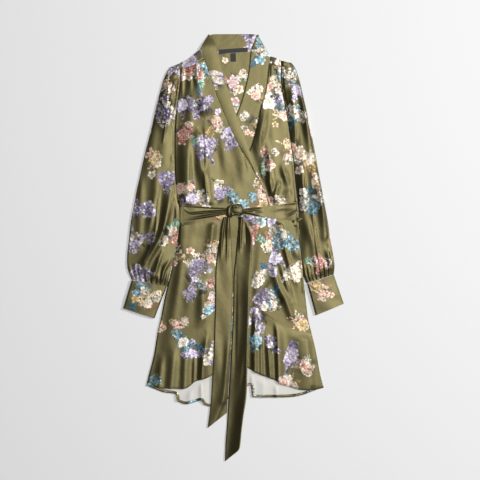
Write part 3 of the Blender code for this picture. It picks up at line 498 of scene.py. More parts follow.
def clear_of_tails(x, y):
    """Press the folds flat under the belt's tails."""
    left = smooth(x_at(TAILS_LEFT_LINE, y) - x, 3.0, 22.0)
    right = smooth(x - x_at(TAILS_RIGHT_LINE, y), 3.0, 22.0)
    return np.where(y > WAIST_Y, 1.0, np.maximum(left, right))


def wrap_edge_x(y):
    """Find the free edge of the upper front at a height."""
    return np.where(y > WAIST_Y, x_at(OVER_EDGE_LINE, y), x_at(OVER_HEM_LINE, y))


def back_z(y):
    """Underside of the back, which passes over the belt behind it."""
    return STEP * (1.0 - smooth(np.abs(y - WAIST_Y), BELT_HALF + 4.0, BELT_HALF + 44.0))


def over_facing(y):
    """Extra height of the fronts where the facing lies beneath them."""
    return STEP * smooth(y, FACING_RISE_LOW, FACING_RISE_TOP)


def under_base(x, y):
    """Underside of the lower front without its folds."""
    return back_z(y) + UNDER_LEVEL + over_facing(y)


def over_base(x, y):
    """Underside of the upper front without its folds."""
    inset = x - x_at(LEFT_SIDE, y)
    level = OVER_LEVEL + over_facing(y)
    return back_z(y) + STEP + (level - STEP) * smooth(inset, 4.0, SIDE_RISE)


def kept_above(fold, room=1.2, lift=1.6):
    """Let the cloth float a little, and keep its troughs off the layer beneath."""
    fold = fold + lift
    return np.where(fold < 0.0, room * np.expm1(fold / room), fold)


def under_z(x, y, name):
    """Underside of the lower front, with folds where nothing lies on it."""
    shown = smooth(x - wrap_edge_x(y), 3.0, 22.0)
    fold = 0.1 * clear_of_belt(y) * ridge_height(MAIN_FOLDS["front_left"], x, y)
    fold = fold + near_belt(y) * crease_height(CREASES[name], x, y)
    return under_base(x, y) + shown * kept_above(fold)


def over_z(x, y, name):
    """Underside of the upper front with its folds."""
    shown = clear_of_tails(x, y)
    fold = 0.1 * clear_of_belt(y) * ridge_height(MAIN_FOLDS["front_right"], x, y)
    fold = fold + near_belt(y) * crease_height(CREASES[name], x, y)
    return over_base(x, y) + shown * kept_above(fold)


def flounce_wave(u, v, waves, height):
    """Uneven waves of a flounce, none at its seam and full at its hem."""
    turn = waves * u + 0.16 * np.sin(2.0 * math.pi * 2.3 * u + 0.7)
    size = 0.72 + 0.28 * np.sin(2.0 * math.pi * 3.1 * u + 2.0)
    return height * size * v ** 0.8 * (0.5 - 0.5 * np.cos(2.0 * math.pi * turn))


def slow_waves(x, y, seed, size, height):
    """Broad uneven swells of cloth that lies loosely."""
    dice = np.random.default_rng(seed)
    total = np.zeros_like(x)
    for _ in range(7):
        turn = dice.uniform(0.0, math.pi)
        wave = size * dice.uniform(0.6, 1.7)
        phase = dice.uniform(0.0, 2.0 * math.pi)
        total += np.sin(2.0 * math.pi * (x * math.cos(turn) + y * math.sin(turn)) / wave + phase)
    return height * total / 7.0


# Print: motifs are drawn as petals and leaves, each a mark on the cloth

def ink(colours, index, dice=None, spread=0.0):
    """One linear colour of a motif, with a little chance in its depth."""
    colour = np.array(INKS[colours][index], float) / 255.0
    linear = np.where(colour > 0.04045, ((colour + 0.055) / 1.055) ** 2.4, colour / 12.92)
    if dice is not None:
        linear = linear * (1.0 + spread * dice.uniform(-1.0, 1.0))
    return tuple(0.95 * linear)


def petal(marks, x, y, long, short, angle, tones, kind="round", soft=1.0, florets=0.0):
    """One mark of the print.  Its colour runs from the second tone to the first."""
    marks.append((x, y, long, short, angle, kind, soft, florets, *tones[0], *tones[1]))


def cloud(marks, dice, x, y, size, depth=0.8):
    """Soft shade on the ground: dark where the depth is positive, brown where it is negative."""
    for _ in range(4):
        petal(marks, x + 0.4 * size * dice.normal(), y + 0.4 * size * dice.normal(),
              size * dice.uniform(0.7, 1.2), size * dice.uniform(0.5, 0.8),
              dice.uniform(0.0, 3.1), ((depth,) * 3, (depth,) * 3), "shade")


def leaf(marks, dice, x, y, length, angle, colours):
    """One pointed leaf that starts at x, y."""
    petal(marks, x + 0.5 * length * math.cos(angle), y + 0.5 * length * math.sin(angle),
          0.52 * length, 0.23 * length + 0.3, angle,
          (ink(colours, 0, dice, 0.3), ink(colours, 1, dice, 0.3)), "leaf")


def bloom(marks, dice, x, y, size, turn, colours, petals=5):
    """A single flower with round petals and a centre."""
    start = math.radians(turn) + dice.uniform(0.0, 1.0)
    tilt, lean = dice.uniform(0.62, 1.0), dice.uniform(0.0, 3.1)
    for index in range(petals):
        angle = start + 2.0 * math.pi * (index + dice.uniform(-0.25, 0.25)) / petals
        reach = size * dice.uniform(0.42, 0.6)
        long, short = size * dice.uniform(0.36, 0.54), size * dice.uniform(0.26, 0.42)
        across = reach * math.cos(angle - lean) * tilt
        along = reach * math.sin(angle - lean)
        px = x + across * math.cos(lean) - along * math.sin(lean)
        py = y + across * math.sin(lean) + along * math.cos(lean)
        petal(marks, px, py, long + 0.7, short + 0.7, angle,
              (ink(colours, 1, dice, 0.3), ink(colours, 1)))
        petal(marks, px + 0.4 * math.cos(angle), py + 0.4 * math.sin(angle), long, short, angle,
              (ink(colours, 0, dice, 0.3), ink(colours, 1, dice, 0.3)))
        if size > 6.0 and dice.uniform() < 0.6:
            petal(marks, px + 0.6 * long * math.cos(angle), py + 0.6 * long * math.sin(angle),
                  0.16 * size, 0.3 * short + 0.6, angle + 1.3, (ink("ivory", 0), ink("ivory", 0)))
    petal(marks, x, y, 0.2 * size, 0.17 * size, start, (ink(colours, 2), ink(colours, 1)))


def floret(marks, dice, x, y, size, colours, light=0.72):
    """A speck of small blossoms."""
    first = ink(colours, 0 if dice.uniform() < light else 1, dice, 0.22)
    petal(marks, x, y, size, 0.8 * size, dice.uniform(0.0, 3.1), (first, first), soft=1.6,
          florets=1.0)


OTHERS = {"cream": "ivory", "ivory": "cream", "lilac": "violet", "violet": "lilac",
          "peach": "cream", "coral": "peach", "sky": "teal", "mint": "sage", "teal": "sky",
          "pink": "ivory", "ochre": "cream", "rust": "ochre", "sage": "mint", "plum": "violet",
          "dark": "sage", "pearl": "lilac"}


def ghost(marks, dice, x, y, size, turn):
    """A faded brown patch of the print."""
    angle = math.radians(turn)
    for share in (-0.7, 0.0, 0.7):
        cloud(marks, dice, x + share * size * math.cos(angle), y + share * size * math.sin(angle),
              0.5 * size, -0.55)


def cluster(marks, dice, x, y, size, turn, colours):
    """A head of many small blossoms over dark leaves, with loose ones round it."""
    angle = math.radians(turn)
    cloud(marks, dice, x, y, 1.1 * size, -0.5)
    cloud(marks, dice, x, y, 0.8 * size, 0.7)
    for _ in range(int(4 + size / 3.0)):
        out = dice.uniform(0.0, 2.0 * math.pi)
        leaf(marks, dice, x + 0.7 * size * math.cos(out), y + 0.7 * size * math.sin(out),
             5.0 + 0.3 * size, out, str(dice.choice(["dark", "sage", "plum", "mint"])))
    for _ in range(int(8 + (size / 2.0) ** 2)):
        out = dice.uniform(0.0, 2.0 * math.pi)
        reach = size * (math.sqrt(dice.uniform(0.0, 1.0)) + 0.5 * (dice.uniform() < 0.15))
        dx, dy = 1.1 * reach * math.cos(out), 0.85 * reach * math.sin(out)
        bx = x + dx * math.cos(angle) - dy * math.sin(angle)
        by = y + dx * math.sin(angle) + dy * math.cos(angle)
        tone = colours if dice.uniform() < 0.7 else OTHERS[colours]
        kind = dice.uniform()
        if kind < 0.22:
            bloom(marks, dice, bx, by, dice.uniform(3.6, 6.2), 0.0, tone)
        elif kind < 0.88:
            floret(marks, dice, bx, by, dice.uniform(1.5, 3.4), tone, 0.66)
        else:
            floret(marks, dice, bx, by, dice.uniform(1.4, 2.6), "ivory", 1.0)


def raceme(marks, dice, x, y, size, turn, colours):
    """A tapering spike of small blossoms that starts at x, y."""
    angle = math.radians(turn)
    for index in range(int(8 + size * 1.6)):
        along = dice.uniform(0.0, 1.0) ** 1.2
        wide = 0.16 * size * (1.0 - 0.8 * along) + 2.2
        aside = wide * dice.uniform(-1.0, 1.0)
        bx = x + along * size * math.cos(angle) - aside * math.sin(angle)
        by = y + along * size * math.sin(angle) + aside * math.cos(angle)
        tone = colours if dice.uniform() < 0.62 else OTHERS[colours]
        if index % 12 == 0:
            cloud(marks, dice, bx, by, 0.16 * size, 0.2)
        floret(marks, dice, bx, by, dice.uniform(1.9, 3.6) * (1.0 - 0.35 * along), tone, 0.6)


def spray(marks, dice, x, y, size, turn, colours):
    """A bent stem with leaves on both sides."""
    angle = math.radians(turn)
    bend = dice.uniform(-0.8, 0.8)
    steps = max(3, int(size / 7.5))
    px, py = x, y
    for _ in range(steps):
        angle += bend / steps
        nx, ny = px + size / steps * math.cos(angle), py + size / steps * math.sin(angle)
        stem = math.hypot(nx - px, ny - py)
        petal(marks, (px + nx) / 2, (py + ny) / 2, 0.6 * stem, 0.8, angle,
              (ink(colours, 1), ink(colours, 1)))
        for side in (-1.0, 1.0):
            if dice.uniform() < 0.85:
                leaf(marks, dice, nx, ny, dice.uniform(9.0, 16.0), angle
                     + side * dice.uniform(0.6, 1.15), colours)
        px, py = nx, ny
    leaf(marks, dice, px, py, 11.0, angle, colours)


def sprig(marks, dice, x, y, size, turn, colours):
    """Trailing stems with many small buds."""
    angle = math.radians(turn)
    shade = {"ochre": "rust", "cream": "ochre", "lilac": "plum"}.get(colours, "sage")
    for share in (0.15, 0.45, 0.75):
        cloud(marks, dice, x + share * size * math.cos(angle), y + share * size * math.sin(angle),
              0.16 * size, -0.35)
    for _ in range(5):
        angle = math.radians(turn + dice.uniform(-24.0, 24.0))
        px, py = x + dice.uniform(-4, 4), y + dice.uniform(-4, 4)
        for _ in range(int(size * dice.uniform(0.6, 1.0) / 3.4)):
            angle += dice.uniform(-0.25, 0.25)
            px, py = px + 3.4 * math.cos(angle), py + 3.4 * math.sin(angle)
            petal(marks, px, py, 1.9, 0.6, angle, (ink(shade, 0), ink(shade, 0)))
            out = angle + dice.choice([-1.2, 1.2])
            if dice.uniform() < 0.8:
                bud = dice.uniform(1.1, 2.3)
                petal(marks, px + 2.2 * math.cos(out), py + 2.2 * math.sin(out), bud, 0.8 * bud,
                      out, (ink(colours, 0, dice, 0.25), ink(colours, 1)))


def foliage(marks, dice, x, y, size, turn, colours):
    """A dark clump of leaves."""
    angle = math.radians(turn)
    cloud(marks, dice, x + 0.35 * size * math.cos(angle), y + 0.35 * size * math.sin(angle),
          0.75 * size, {"rust": -0.8, "plum": 0.75}.get(colours, 0.9))
    for _ in range(int(5 + size * 0.5)):
        out = angle + dice.normal(0.0, 1.0)
        reach = dice.uniform(0.0, 0.7) * size
        leaf(marks, dice, x + reach * math.cos(out), y + reach * math.sin(out),
             dice.uniform(6.0, 8.0 + 0.25 * size), out + dice.normal(0.0, 0.6),
             colours if dice.uniform() < 0.75 else str(dice.choice(["sage", "plum", "teal"])))


def peony(marks, dice, x, y, size, turn, colours):
    """A full round flower with rings of petals."""
    start, lean = math.radians(turn), dice.uniform(0.0, 3.1)
    cloud(marks, dice, x, y, 0.8 * size, 0.5)
    for ring, (reach, width, count) in enumerate(
            ((0.7, 0.3, 11), (0.56, 0.27, 10), (0.4, 0.23, 9), (0.26, 0.18, 7), (0.12, 0.12, 5))):
        for index in range(count):
            angle = start + ring * 0.4 + 2.0 * math.pi * (index + dice.uniform(-0.4, 0.4)) / count
            out = reach * size * dice.uniform(0.8, 1.1) * (1.0 - 0.2 * abs(math.sin(angle - lean)))
            px, py = x + out * math.cos(angle), y + out * math.sin(angle)
            wide = width * size * dice.uniform(0.65, 1.2)
            petal(marks, px, py, 1.05 * wide + 0.6, 0.85 * wide + 0.6, angle,
                  (ink(colours, 1, dice, 0.3), ink(colours, 1)))
            petal(marks, px + 0.05 * size * math.cos(angle), py + 0.05 * size * math.sin(angle),
                  wide, 0.75 * wide, angle,
                  (ink(colours, 0, dice, 0.2), ink(colours, 1, dice, 0.3)))
            petal(marks, px + 0.75 * wide * math.cos(angle), py + 0.75 * wide * math.sin(angle),
                  0.2 * wide, 0.45 * wide, angle + dice.uniform(-0.5, 0.5),
                  (ink("ivory", 0), ink(colours, 0, dice, 0.2)))
    for _ in range(9):
        out, reach = dice.uniform(0.0, 6.28), dice.uniform(0.0, 0.12) * size
        petal(marks, x + reach * math.cos(out), y + reach * math.sin(out), 0.05 * size,
              0.04 * size, out, (ink(colours, 2), ink(colours, 2)))


MOTIFS = {"bloom": bloom, "cluster": cluster, "raceme": raceme, "spray": spray, "sprig": sprig,
          "peony": peony}
CANVAS_STEP = 0.8       # size in mm of the canvas's cells
HAZE = 5                # cells to each side over which the ink is blurred


def blurred(picture, reach):
    """Average a canvas over a small square."""
    for axis in (0, 1):
        total = np.zeros_like(picture)
        for shift in range(-reach, reach + 1):
            total += np.roll(picture, shift, axis)
        picture = total / (2 * reach + 1)
    return picture


def painted(marks, x, y):
    """Draw the marks in order.  Gives their colour, cover, share of florets and shade."""
    result = np.zeros(x.shape + (6,))
    if not marks:
        return result
    low_x, low_y = x.min() - 8.0, y.min() - 8.0
    wide = int((x.max() + 8.0 - low_x) / CANVAS_STEP) + 2
    high = int((y.max() + 8.0 - low_y) / CANVAS_STEP) + 2
    canvas = np.zeros((high, wide, 6))
    for cx, cy, long, short, angle, kind, soft, florets, *tones in marks:
        reach = long + short + 1.5 * soft
        c0 = max(int((cx - reach - low_x) / CANVAS_STEP), 0)
        c1 = min(int((cx + reach - low_x) / CANVAS_STEP) + 1, wide)
        r0 = max(int((cy - reach - low_y) / CANVAS_STEP), 0)
        r1 = min(int((cy + reach - low_y) / CANVAS_STEP) + 1, high)
        if c0 >= c1 or r0 >= r1:
            continue
        dx = low_x + np.arange(c0, c1)[None] * CANVAS_STEP - cx
        dy = low_y + np.arange(r0, r1)[:, None] * CANVAS_STEP - cy
        along = (dx * math.cos(angle) + dy * math.sin(angle)) / long
        aside = (dy * math.cos(angle) - dx * math.sin(angle)) / short
        part = canvas[r0:r1, c0:c1]
        if kind == "shade":
            cover = np.exp(-1.6 * (along ** 2 + aside ** 2))
            part[..., 5] = part[..., 5] * (1.0 - cover) + tones[0] * cover
            continue
        if kind == "leaf":
            inside = 1.0 - along ** 2 - np.abs(aside)
            depth = np.clip(0.5 + 1.2 * aside, 0.0, 1.0)[..., None]
        else:
            inside = 1.0 - np.sqrt(along ** 2 + aside ** 2)
            depth = np.clip(0.5 + 0.6 * along, 0.0, 1.0)[..., None]
        cover = np.clip(0.5 + inside * short / soft, 0.0, 1.0)[..., None]
        tone = np.array(tones[3:]) * (1.0 - depth) + np.array(tones[:3]) * depth
        part[..., :3] = part[..., :3] * (1.0 - cover) + tone * cover
        part[..., 3:4] = part[..., 3:4] * (1.0 - cover) + cover
        part[..., 4:5] = part[..., 4:5] * (1.0 - cover) + florets * cover
    spread = blurred(canvas[..., :4], HAZE)
    share = np.clip(canvas[..., 3:4], 0.02, 1.0)
    near = spread[..., :3] / np.maximum(spread[..., 3:], 1e-4)
    canvas[..., :3] = canvas[..., :3] + (1.0 - share) * near
    column = (x - low_x) / CANVAS_STEP
    row = (y - low_y) / CANVAS_STEP
    c0, r0 = column.astype(int), row.astype(int)
    fx, fy = (column - c0)[..., None], (row - r0)[..., None]
    return ((canvas[r0, c0] * (1 - fx) + canvas[r0, c0 + 1] * fx) * (1 - fy)
            + (canvas[r0 + 1, c0] * (1 - fx) + canvas[r0 + 1, c0 + 1] * fx) * fy)


def group(marks, dice, x, y):
    """One group: a faded patch, leaves, a trailing motif, heads of blossom and loose flowers."""
    leaves, blossoms, trailing, trail_colours = GROUPS[dice.integers(len(GROUPS))]
    size = dice.uniform(0.75, 1.25)
    ghost(marks, dice, x, y, 20.0 * size, dice.uniform(0.0, 180.0))
    foliage(marks, dice, x, y, 24.0 * size, dice.uniform(0.0, 360.0), leaves)
    MOTIFS[trailing](marks, dice, x, y, dice.uniform(34.0, 54.0) * size,
                     dice.uniform(0.0, 360.0), trail_colours)
    for motif, least, most, low, high in (("cluster", 2, 4, 9.0, 16.0), ("bloom", 1, 4, 8.0, 13.0)):
        for _ in range(dice.integers(least, most + 1)):
            MOTIFS[motif](marks, dice, x + GROUP_SPREAD * dice.normal(),
                          y + GROUP_SPREAD * dice.normal(), dice.uniform(low, high) * size,
                          dice.uniform(0.0, 360.0), str(dice.choice(blossoms)))
    if dice.uniform() < 0.3:
        peony(marks, dice, x, y, dice.uniform(14.0, 24.0) * size, 0.0, str(dice.choice(blossoms)))


def marks_for(name, x, y):
    """Scatter groups over a piece by chance, most of them clear of the others."""
    seed = sum(ord(letter) * (place + 7) for place, letter in enumerate(name))
    dice = np.random.default_rng(seed)
    marks, places = [], []
    for _ in range(max(1, round(abs(signed_area(x, y)) / GROUP_GAP ** 2))):
        spots = [(x.flat[k], y.flat[k]) for k in dice.integers(x.size, size=CHOICES)]
        places.append(max(spots, key=lambda spot: min(
            (math.dist(spot, other) for other in places), default=0.0)))
        group(marks, dice, *places[-1])
    return marks


def scattered(name, x, y, per_dm2=1.1):
    """Draw a free layout for a hidden side."""
    dice = np.random.default_rng(len(name) * 31 + ord(name[0]))
    area = (x.max() - x.min()) * (y.max() - y.min()) / 1e4
    marks = []
    for _ in range(int(area * per_dm2)):
        motif = dice.choice(["cluster", "cluster", "spray", "bloom", "raceme", "peony", "sprig"])
        colours = {"raceme": ["lilac", "violet", "cream"], "spray": ["teal", "mint", "sage"],
                   "sprig": ["ochre", "cream"]}.get(
                       motif, ["cream", "lilac", "peach", "sky", "ivory"])
        MOTIFS[motif](marks, dice, dice.uniform(x.min(), x.max()), dice.uniform(y.min(), y.max()),
                      dice.uniform(12.0, 24.0), dice.uniform(0.0, 360.0), dice.choice(colours))
    return marks


# Materials

def node_of(tree, kind, place, **values):
    """Add a node and set its plain inputs."""
    node = tree.nodes.new(kind)
    node.location = place
    for key, value in values.items():
        if key in node.inputs:
            node.inputs[key].default_value = value
        else:
            setattr(node, key, value)
    return node


def linear(colour):
    """Display red, green and blue as linear ones, with full cover."""
    channel = [value / 12.92 if value <= 0.04045 else ((value + 0.055) / 1.055) ** 2.4
               for value in colour]
    return (*channel, 1.0)


def ranged(tree, source, place, low, high, to_low=0.0, to_high=1.0):
    """Add a soft step from one value to another."""
    node = node_of(tree, "ShaderNodeMapRange", place, interpolation_type="SMOOTHSTEP")
    keys = ("From Min", "From Max", "To Min", "To Max")
    for key, value in zip(keys, (low, high, to_low, to_high)):
        node.inputs[key].default_value = value
    tree.links.new(source, node.inputs["Value"])
    return node.outputs["Result"]


def scaled(tree, colour, factor, place):
    """Multiply a colour by a value."""
    node = node_of(tree, "ShaderNodeVectorMath", place, operation="SCALE")
    tree.links.new(colour, node.inputs[0])
    tree.links.new(factor, node.inputs["Scale"])
    return node.outputs["Vector"]


def mixed(tree, factor, first, second, place):
    """Mix two colours."""
    node = node_of(tree, "ShaderNodeMix", place, data_type="RGBA")
    tree.links.new(factor, node.inputs["Factor"])
    tree.links.new(first, node.inputs["A"])
    tree.links.new(second, node.inputs["B"])
    return node.outputs["Result"]


def print_nodes(tree, coords, fine, ground):
    """Lay the print's ink on a ground: ragged edges, petals, and blossoms in florets."""
    link = tree.links.new
    shade = node_of(tree, "ShaderNodeAttribute", (-1400, 900), attribute_name="shade")
    deep = node_of(tree, "ShaderNodeRGB", (-1400, 700))
    deep.outputs[0].default_value = (0.024, 0.022, 0.014, 1.0)
    warm = node_of(tree, "ShaderNodeRGB", (-1400, 1100))
    warm.outputs[0].default_value = (0.112, 0.074, 0.040, 1.0)
    ground = mixed(tree, ranged(tree, shade.outputs["Fac"], (-1200, 900), 0.05, 1.0, 0.0, 0.92),
                   ground, deep.outputs[0], (-1000, 800))
    ground = mixed(tree, ranged(tree, shade.outputs["Fac"], (-1200, 1100), -0.05, -0.75, 0.0, 0.95),
                   ground, warm.outputs[0], (-800, 900))
    paint = node_of(tree, "ShaderNodeAttribute", (-2400, -300), attribute_name="print")
    share = node_of(tree, "ShaderNodeAttribute", (-2400, -600), attribute_name="florets")
    bend = node_of(tree, "ShaderNodeTexNoise", (-2600, 200), Scale=240.0, Detail=1.0)
    link(coords.outputs["Object"], bend.inputs["Vector"])
    offset = node_of(tree, "ShaderNodeVectorMath", (-2400, 200), operation="MULTIPLY_ADD")
    offset.inputs[1].default_value = (0.0028, 0.0028, 0.0028)
    link(bend.outputs["Color"], offset.inputs[0])
    link(coords.outputs["Object"], offset.inputs[2])
    blossoms = node_of(tree, "ShaderNodeTexVoronoi", (-2200, 300), Scale=135.0, Randomness=0.9)
    petals = node_of(tree, "ShaderNodeTexVoronoi", (-2200, 0), Scale=380.0)
    for cells in (blossoms, petals):
        link(offset.outputs["Vector"], cells.inputs["Vector"])
    petal_tone = ranged(tree, petals.outputs["Distance"], (-2000, 0), 0.1, 0.7, 1.3, 0.45)
    single = scaled(tree, paint.outputs["Color"],
                    ranged(tree, petals.outputs["Distance"], (-2000, -200), 0.1, 0.75, 1.16, 0.72),
                    (-1800, -200))
    inside = ranged(tree, blossoms.outputs["Distance"], (-2000, 300), 0.34, 0.56, 1.0, 0.0)
    chance = node_of(tree, "ShaderNodeSeparateColor", (-2000, 500))
    link(blossoms.outputs["Color"], chance.inputs["Color"])
    cell_tone = ranged(tree, chance.outputs["Red"], (-1800, 500), 0.0, 1.0, 0.5, 1.4)
    lit = scaled(tree, scaled(tree, paint.outputs["Color"], petal_tone, (-1800, 100)), cell_tone,
                 (-1600, 100))
    dark = node_of(tree, "ShaderNodeRGB", (-1600, 400))
    dark.outputs[0].default_value = (0.018, 0.016, 0.009, 1.0)
    gap = mixed(tree, ranged(tree, chance.outputs["Green"], (-1600, 600), 0.35, 0.6),
                dark.outputs[0], ground, (-1400, 400))
    many = mixed(tree, inside, gap, lit, (-1200, 200))
    colour = mixed(tree, share.outputs["Fac"], single, many, (-1000, 0))
    brush = node_of(tree, "ShaderNodeTexNoise", (-1400, -900), Scale=150.0, Detail=4.0,
                    Roughness=0.7)
    link(coords.outputs["Object"], brush.inputs["Vector"])
    strokes = ranged(tree, brush.outputs["Fac"], (-1200, -900), 0.3, 0.62, 0.45, 1.25)
    colour = scaled(tree, colour, strokes, (-800, 0))
    ragged = node_of(tree, "ShaderNodeMath", (-1000, -300), operation="MULTIPLY_ADD")
    ragged.inputs[1].default_value = 0.5
    link(fine.outputs["Fac"], ragged.inputs[0])
    link(paint.outputs["Alpha"], ragged.inputs[2])
    cover = ranged(tree, ragged.outputs["Value"], (-800, -300), 0.56, 0.84)
    return mixed(tree, cover, ground, colour, (-600, 100)), cover


def satin(name, ground, printed, metallic=0.86, rough=0.44):
    """Satin: a ground colour with or without a print, long floats, soft swells and sheen."""
    material = bpy.data.materials.new(name)
    material.use_nodes = True
    tree = material.node_tree
    link = tree.links.new
    shader = tree.nodes["Principled BSDF"]
    coords = node_of(tree, "ShaderNodeTexCoord", (-1500, 0))
    broad = node_of(tree, "ShaderNodeTexNoise", (-1200, 300), Scale=9.0, Detail=2.0)
    fine = node_of(tree, "ShaderNodeTexNoise", (-1200, 0), Scale=700.0, Detail=2.0)
    link(coords.outputs["Object"], broad.inputs["Vector"])
    link(coords.outputs["Object"], fine.inputs["Vector"])
    tone = node_of(tree, "ShaderNodeMapRange", (-1000, 300))
    tone.inputs["To Min"].default_value = 0.9
    tone.inputs["To Max"].default_value = 1.1
    link(broad.outputs["Fac"], tone.inputs["Value"])
    base = node_of(tree, "ShaderNodeVectorMath", (-800, 300), operation="SCALE")
    base.inputs[0].default_value = linear(ground)[:3]
    link(tone.outputs["Result"], base.inputs["Scale"])
    colour = base.outputs["Vector"]
    if printed:
        colour, cover = print_nodes(tree, coords, fine, colour)
        shine = node_of(tree, "ShaderNodeMapRange", (-500, -150))
        shine.inputs["To Min"].default_value = metallic
        shine.inputs["To Max"].default_value = 0.45
        link(cover, shine.inputs["Value"])
        link(shine.outputs["Result"], shader.inputs["Metallic"])
    link(colour, shader.inputs["Base Color"])
    swell = node_of(tree, "ShaderNodeTexNoise", (-1200, -600), Scale=38.0, Detail=3.0)
    link(coords.outputs["Object"], swell.inputs["Vector"])
    soft = node_of(tree, "ShaderNodeBump", (-500, -400), Strength=0.5, Distance=0.0012)
    link(swell.outputs["Fac"], soft.inputs["Height"])
    weave = node_of(tree, "ShaderNodeBump", (-300, -400), Strength=0.12, Distance=0.0002)
    link(fine.outputs["Fac"], weave.inputs["Height"])
    link(soft.outputs["Normal"], weave.inputs["Normal"])
    link(weave.outputs["Normal"], shader.inputs["Normal"])
    tangent = node_of(tree, "ShaderNodeTangent", (-500, -700), direction_type="UV_MAP")
    tangent.uv_map = "weave"
    link(tangent.outputs["Tangent"], shader.inputs["Tangent"])
    shader.inputs["Metallic"].default_value = metallic
    shader.inputs["Roughness"].default_value = rough
    shader.inputs["Anisotropic"].default_value = 0.35
    shader.inputs["Anisotropic Rotation"].default_value = 0.25
    shader.inputs["Sheen Weight"].default_value = 0.12
    shader.inputs["Sheen Roughness"].default_value = 0.4
    return material


def matte(name, colour, rough, mottle):
    """Matt cloth, such as the wrong side, a label or a thread."""
    material = bpy.data.materials.new(name)
    material.use_nodes = True
    tree = material.node_tree
    link = tree.links.new
    shader = tree.nodes["Principled BSDF"]
    coords = node_of(tree, "ShaderNodeTexCoord", (-900, 0))
    clouds = node_of(tree, "ShaderNodeTexNoise", (-700, 100), Scale=60.0, Detail=3.0)
    threads = node_of(tree, "ShaderNodeTexNoise", (-700, -200), Scale=900.0, Detail=2.0)
    link(coords.outputs["Object"], clouds.inputs["Vector"])
    link(coords.outputs["Object"], threads.inputs["Vector"])
    tone = node_of(tree, "ShaderNodeMapRange", (-500, 100))
    tone.inputs["To Min"].default_value = 1.0 - mottle
    tone.inputs["To Max"].default_value = 1.0 + mottle
    link(clouds.outputs["Fac"], tone.inputs["Value"])
    base = node_of(tree, "ShaderNodeVectorMath", (-300, 100), operation="SCALE")
    base.inputs[0].default_value = linear(colour)[:3]
    link(tone.outputs["Result"], base.inputs["Scale"])
    link(base.outputs["Vector"], shader.inputs["Base Color"])
    bump = node_of(tree, "ShaderNodeBump", (-300, -200), Strength=0.3, Distance=0.0002)
    link(threads.outputs["Fac"], bump.inputs["Height"])
    link(bump.outputs["Normal"], shader.inputs["Normal"])
    shader.inputs["Roughness"].default_value = rough
    return material


def finish_of(kind):
    """Fetch a finish by name, and make it the first time."""
    found = bpy.data.materials.get(kind)
    if found:
        return found
    settings = bpy.context.scene.dress_cloth
    if kind == "printed_satin":
        return satin(kind, settings.olive, True)
    if kind == "olive_satin":
        return satin(kind, settings.olive, False)
    if kind == "wrong_side":
        return matte(kind, settings.wrong_side, 0.55, 0.05)
    if kind == "label_tape":
        return matte(kind, settings.label, 0.6, 0.2)
    return matte(kind, settings.thread, 0.5, 0.05)


# Meshes

LAID = {}


def signed_area(x, y):
    """Area of a grid from above, positive where its cells turn anticlockwise."""
    ax, ay = x[:-1, 1:] - x[:-1, :-1], y[:-1, 1:] - y[:-1, :-1]
    bx, by = x[1:, :-1] - x[:-1, :-1], y[1:, :-1] - y[:-1, :-1]
    return float((ax * by - ay * bx).sum())


def turns_left(x, y):
    """Tell whether a grid's cells turn anticlockwise from above."""
    return signed_area(x, y) > 0.0


def cloth(name, x, y, z, finishes, flip, wall, closed_from=None, ink_grid=None, weave=None):
    """Build a shell from a grid of millimetre points.

    From the row closed_from on, the last column is the first one.
    """
    rows, columns = x.shape
    ids = np.arange(rows * columns).reshape(rows, columns)
    if closed_from is not None:
        ids[closed_from:, -1] = ids[closed_from:, 0]
    quads = np.stack([ids[:-1, :-1], ids[1:, :-1], ids[1:, 1:], ids[:-1, 1:]], -1).reshape(-1, 4)
    if flip:
        quads = quads[:, ::-1]
    used, packed = np.unique(quads, return_inverse=True)
    quads = packed.reshape(-1, 4)
    points = (np.stack([x, y, z], -1).reshape(-1, 3) * MM)[used]
    mesh = bpy.data.meshes.new(name)
    mesh.vertices.add(len(points))
    mesh.vertices.foreach_set("co", points.astype(np.float32).ravel())
    mesh.loops.add(quads.size)
    mesh.loops.foreach_set("vertex_index", quads.astype(np.int32).ravel())
    mesh.polygons.add(len(quads))
    mesh.polygons.foreach_set("loop_start", np.arange(0, quads.size, 4, dtype=np.int32))
    mesh.update(calc_edges=True)
    if weave is None:
        weave = np.stack([x, y], -1) * MM
    layer = mesh.uv_layers.new(name="weave")
    corners = weave.reshape(-1, 2)[used][quads.ravel()]
    layer.data.foreach_set("uv", corners.astype(np.float32).ravel())
    if ink_grid is not None:
        shown = ink_grid.reshape(-1, 6)[used].astype(np.float32)
        paint = mesh.attributes.new("print", "FLOAT_COLOR", "POINT")
        paint.data.foreach_set("color", shown[:, :4].ravel())
        for key, column in (("florets", 4), ("shade", 5)):
            share = mesh.attributes.new(key, "FLOAT", "POINT")
            share.data.foreach_set("value", shown[:, column].copy())
    mesh.shade_smooth()
    mesh.validate()
    side_of = np.empty(len(mesh.loops), dtype=np.int32)
    mesh.loops.foreach_get("edge_index", side_of)
    border = np.bincount(side_of, minlength=len(mesh.edges)) == 1
    mesh.attributes.new("sharp_edge", "BOOLEAN", "EDGE").data.foreach_set("value", border)
    for kind in finishes:
        mesh.materials.append(finish_of(kind))
    piece = bpy.data.objects.new(name, mesh)
    bpy.context.scene.collection.objects.link(piece)
    solidify = piece.modifiers.new("Wall", "SOLIDIFY")
    solidify.thickness = wall * MM
    solidify.offset = -1.0
    solidify.material_offset = len(finishes) - 1
    return piece


def placed(piece, node):
    """Put a piece in the frame in place of its solid."""
    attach(piece, "root")
    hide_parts(node)
    return piece


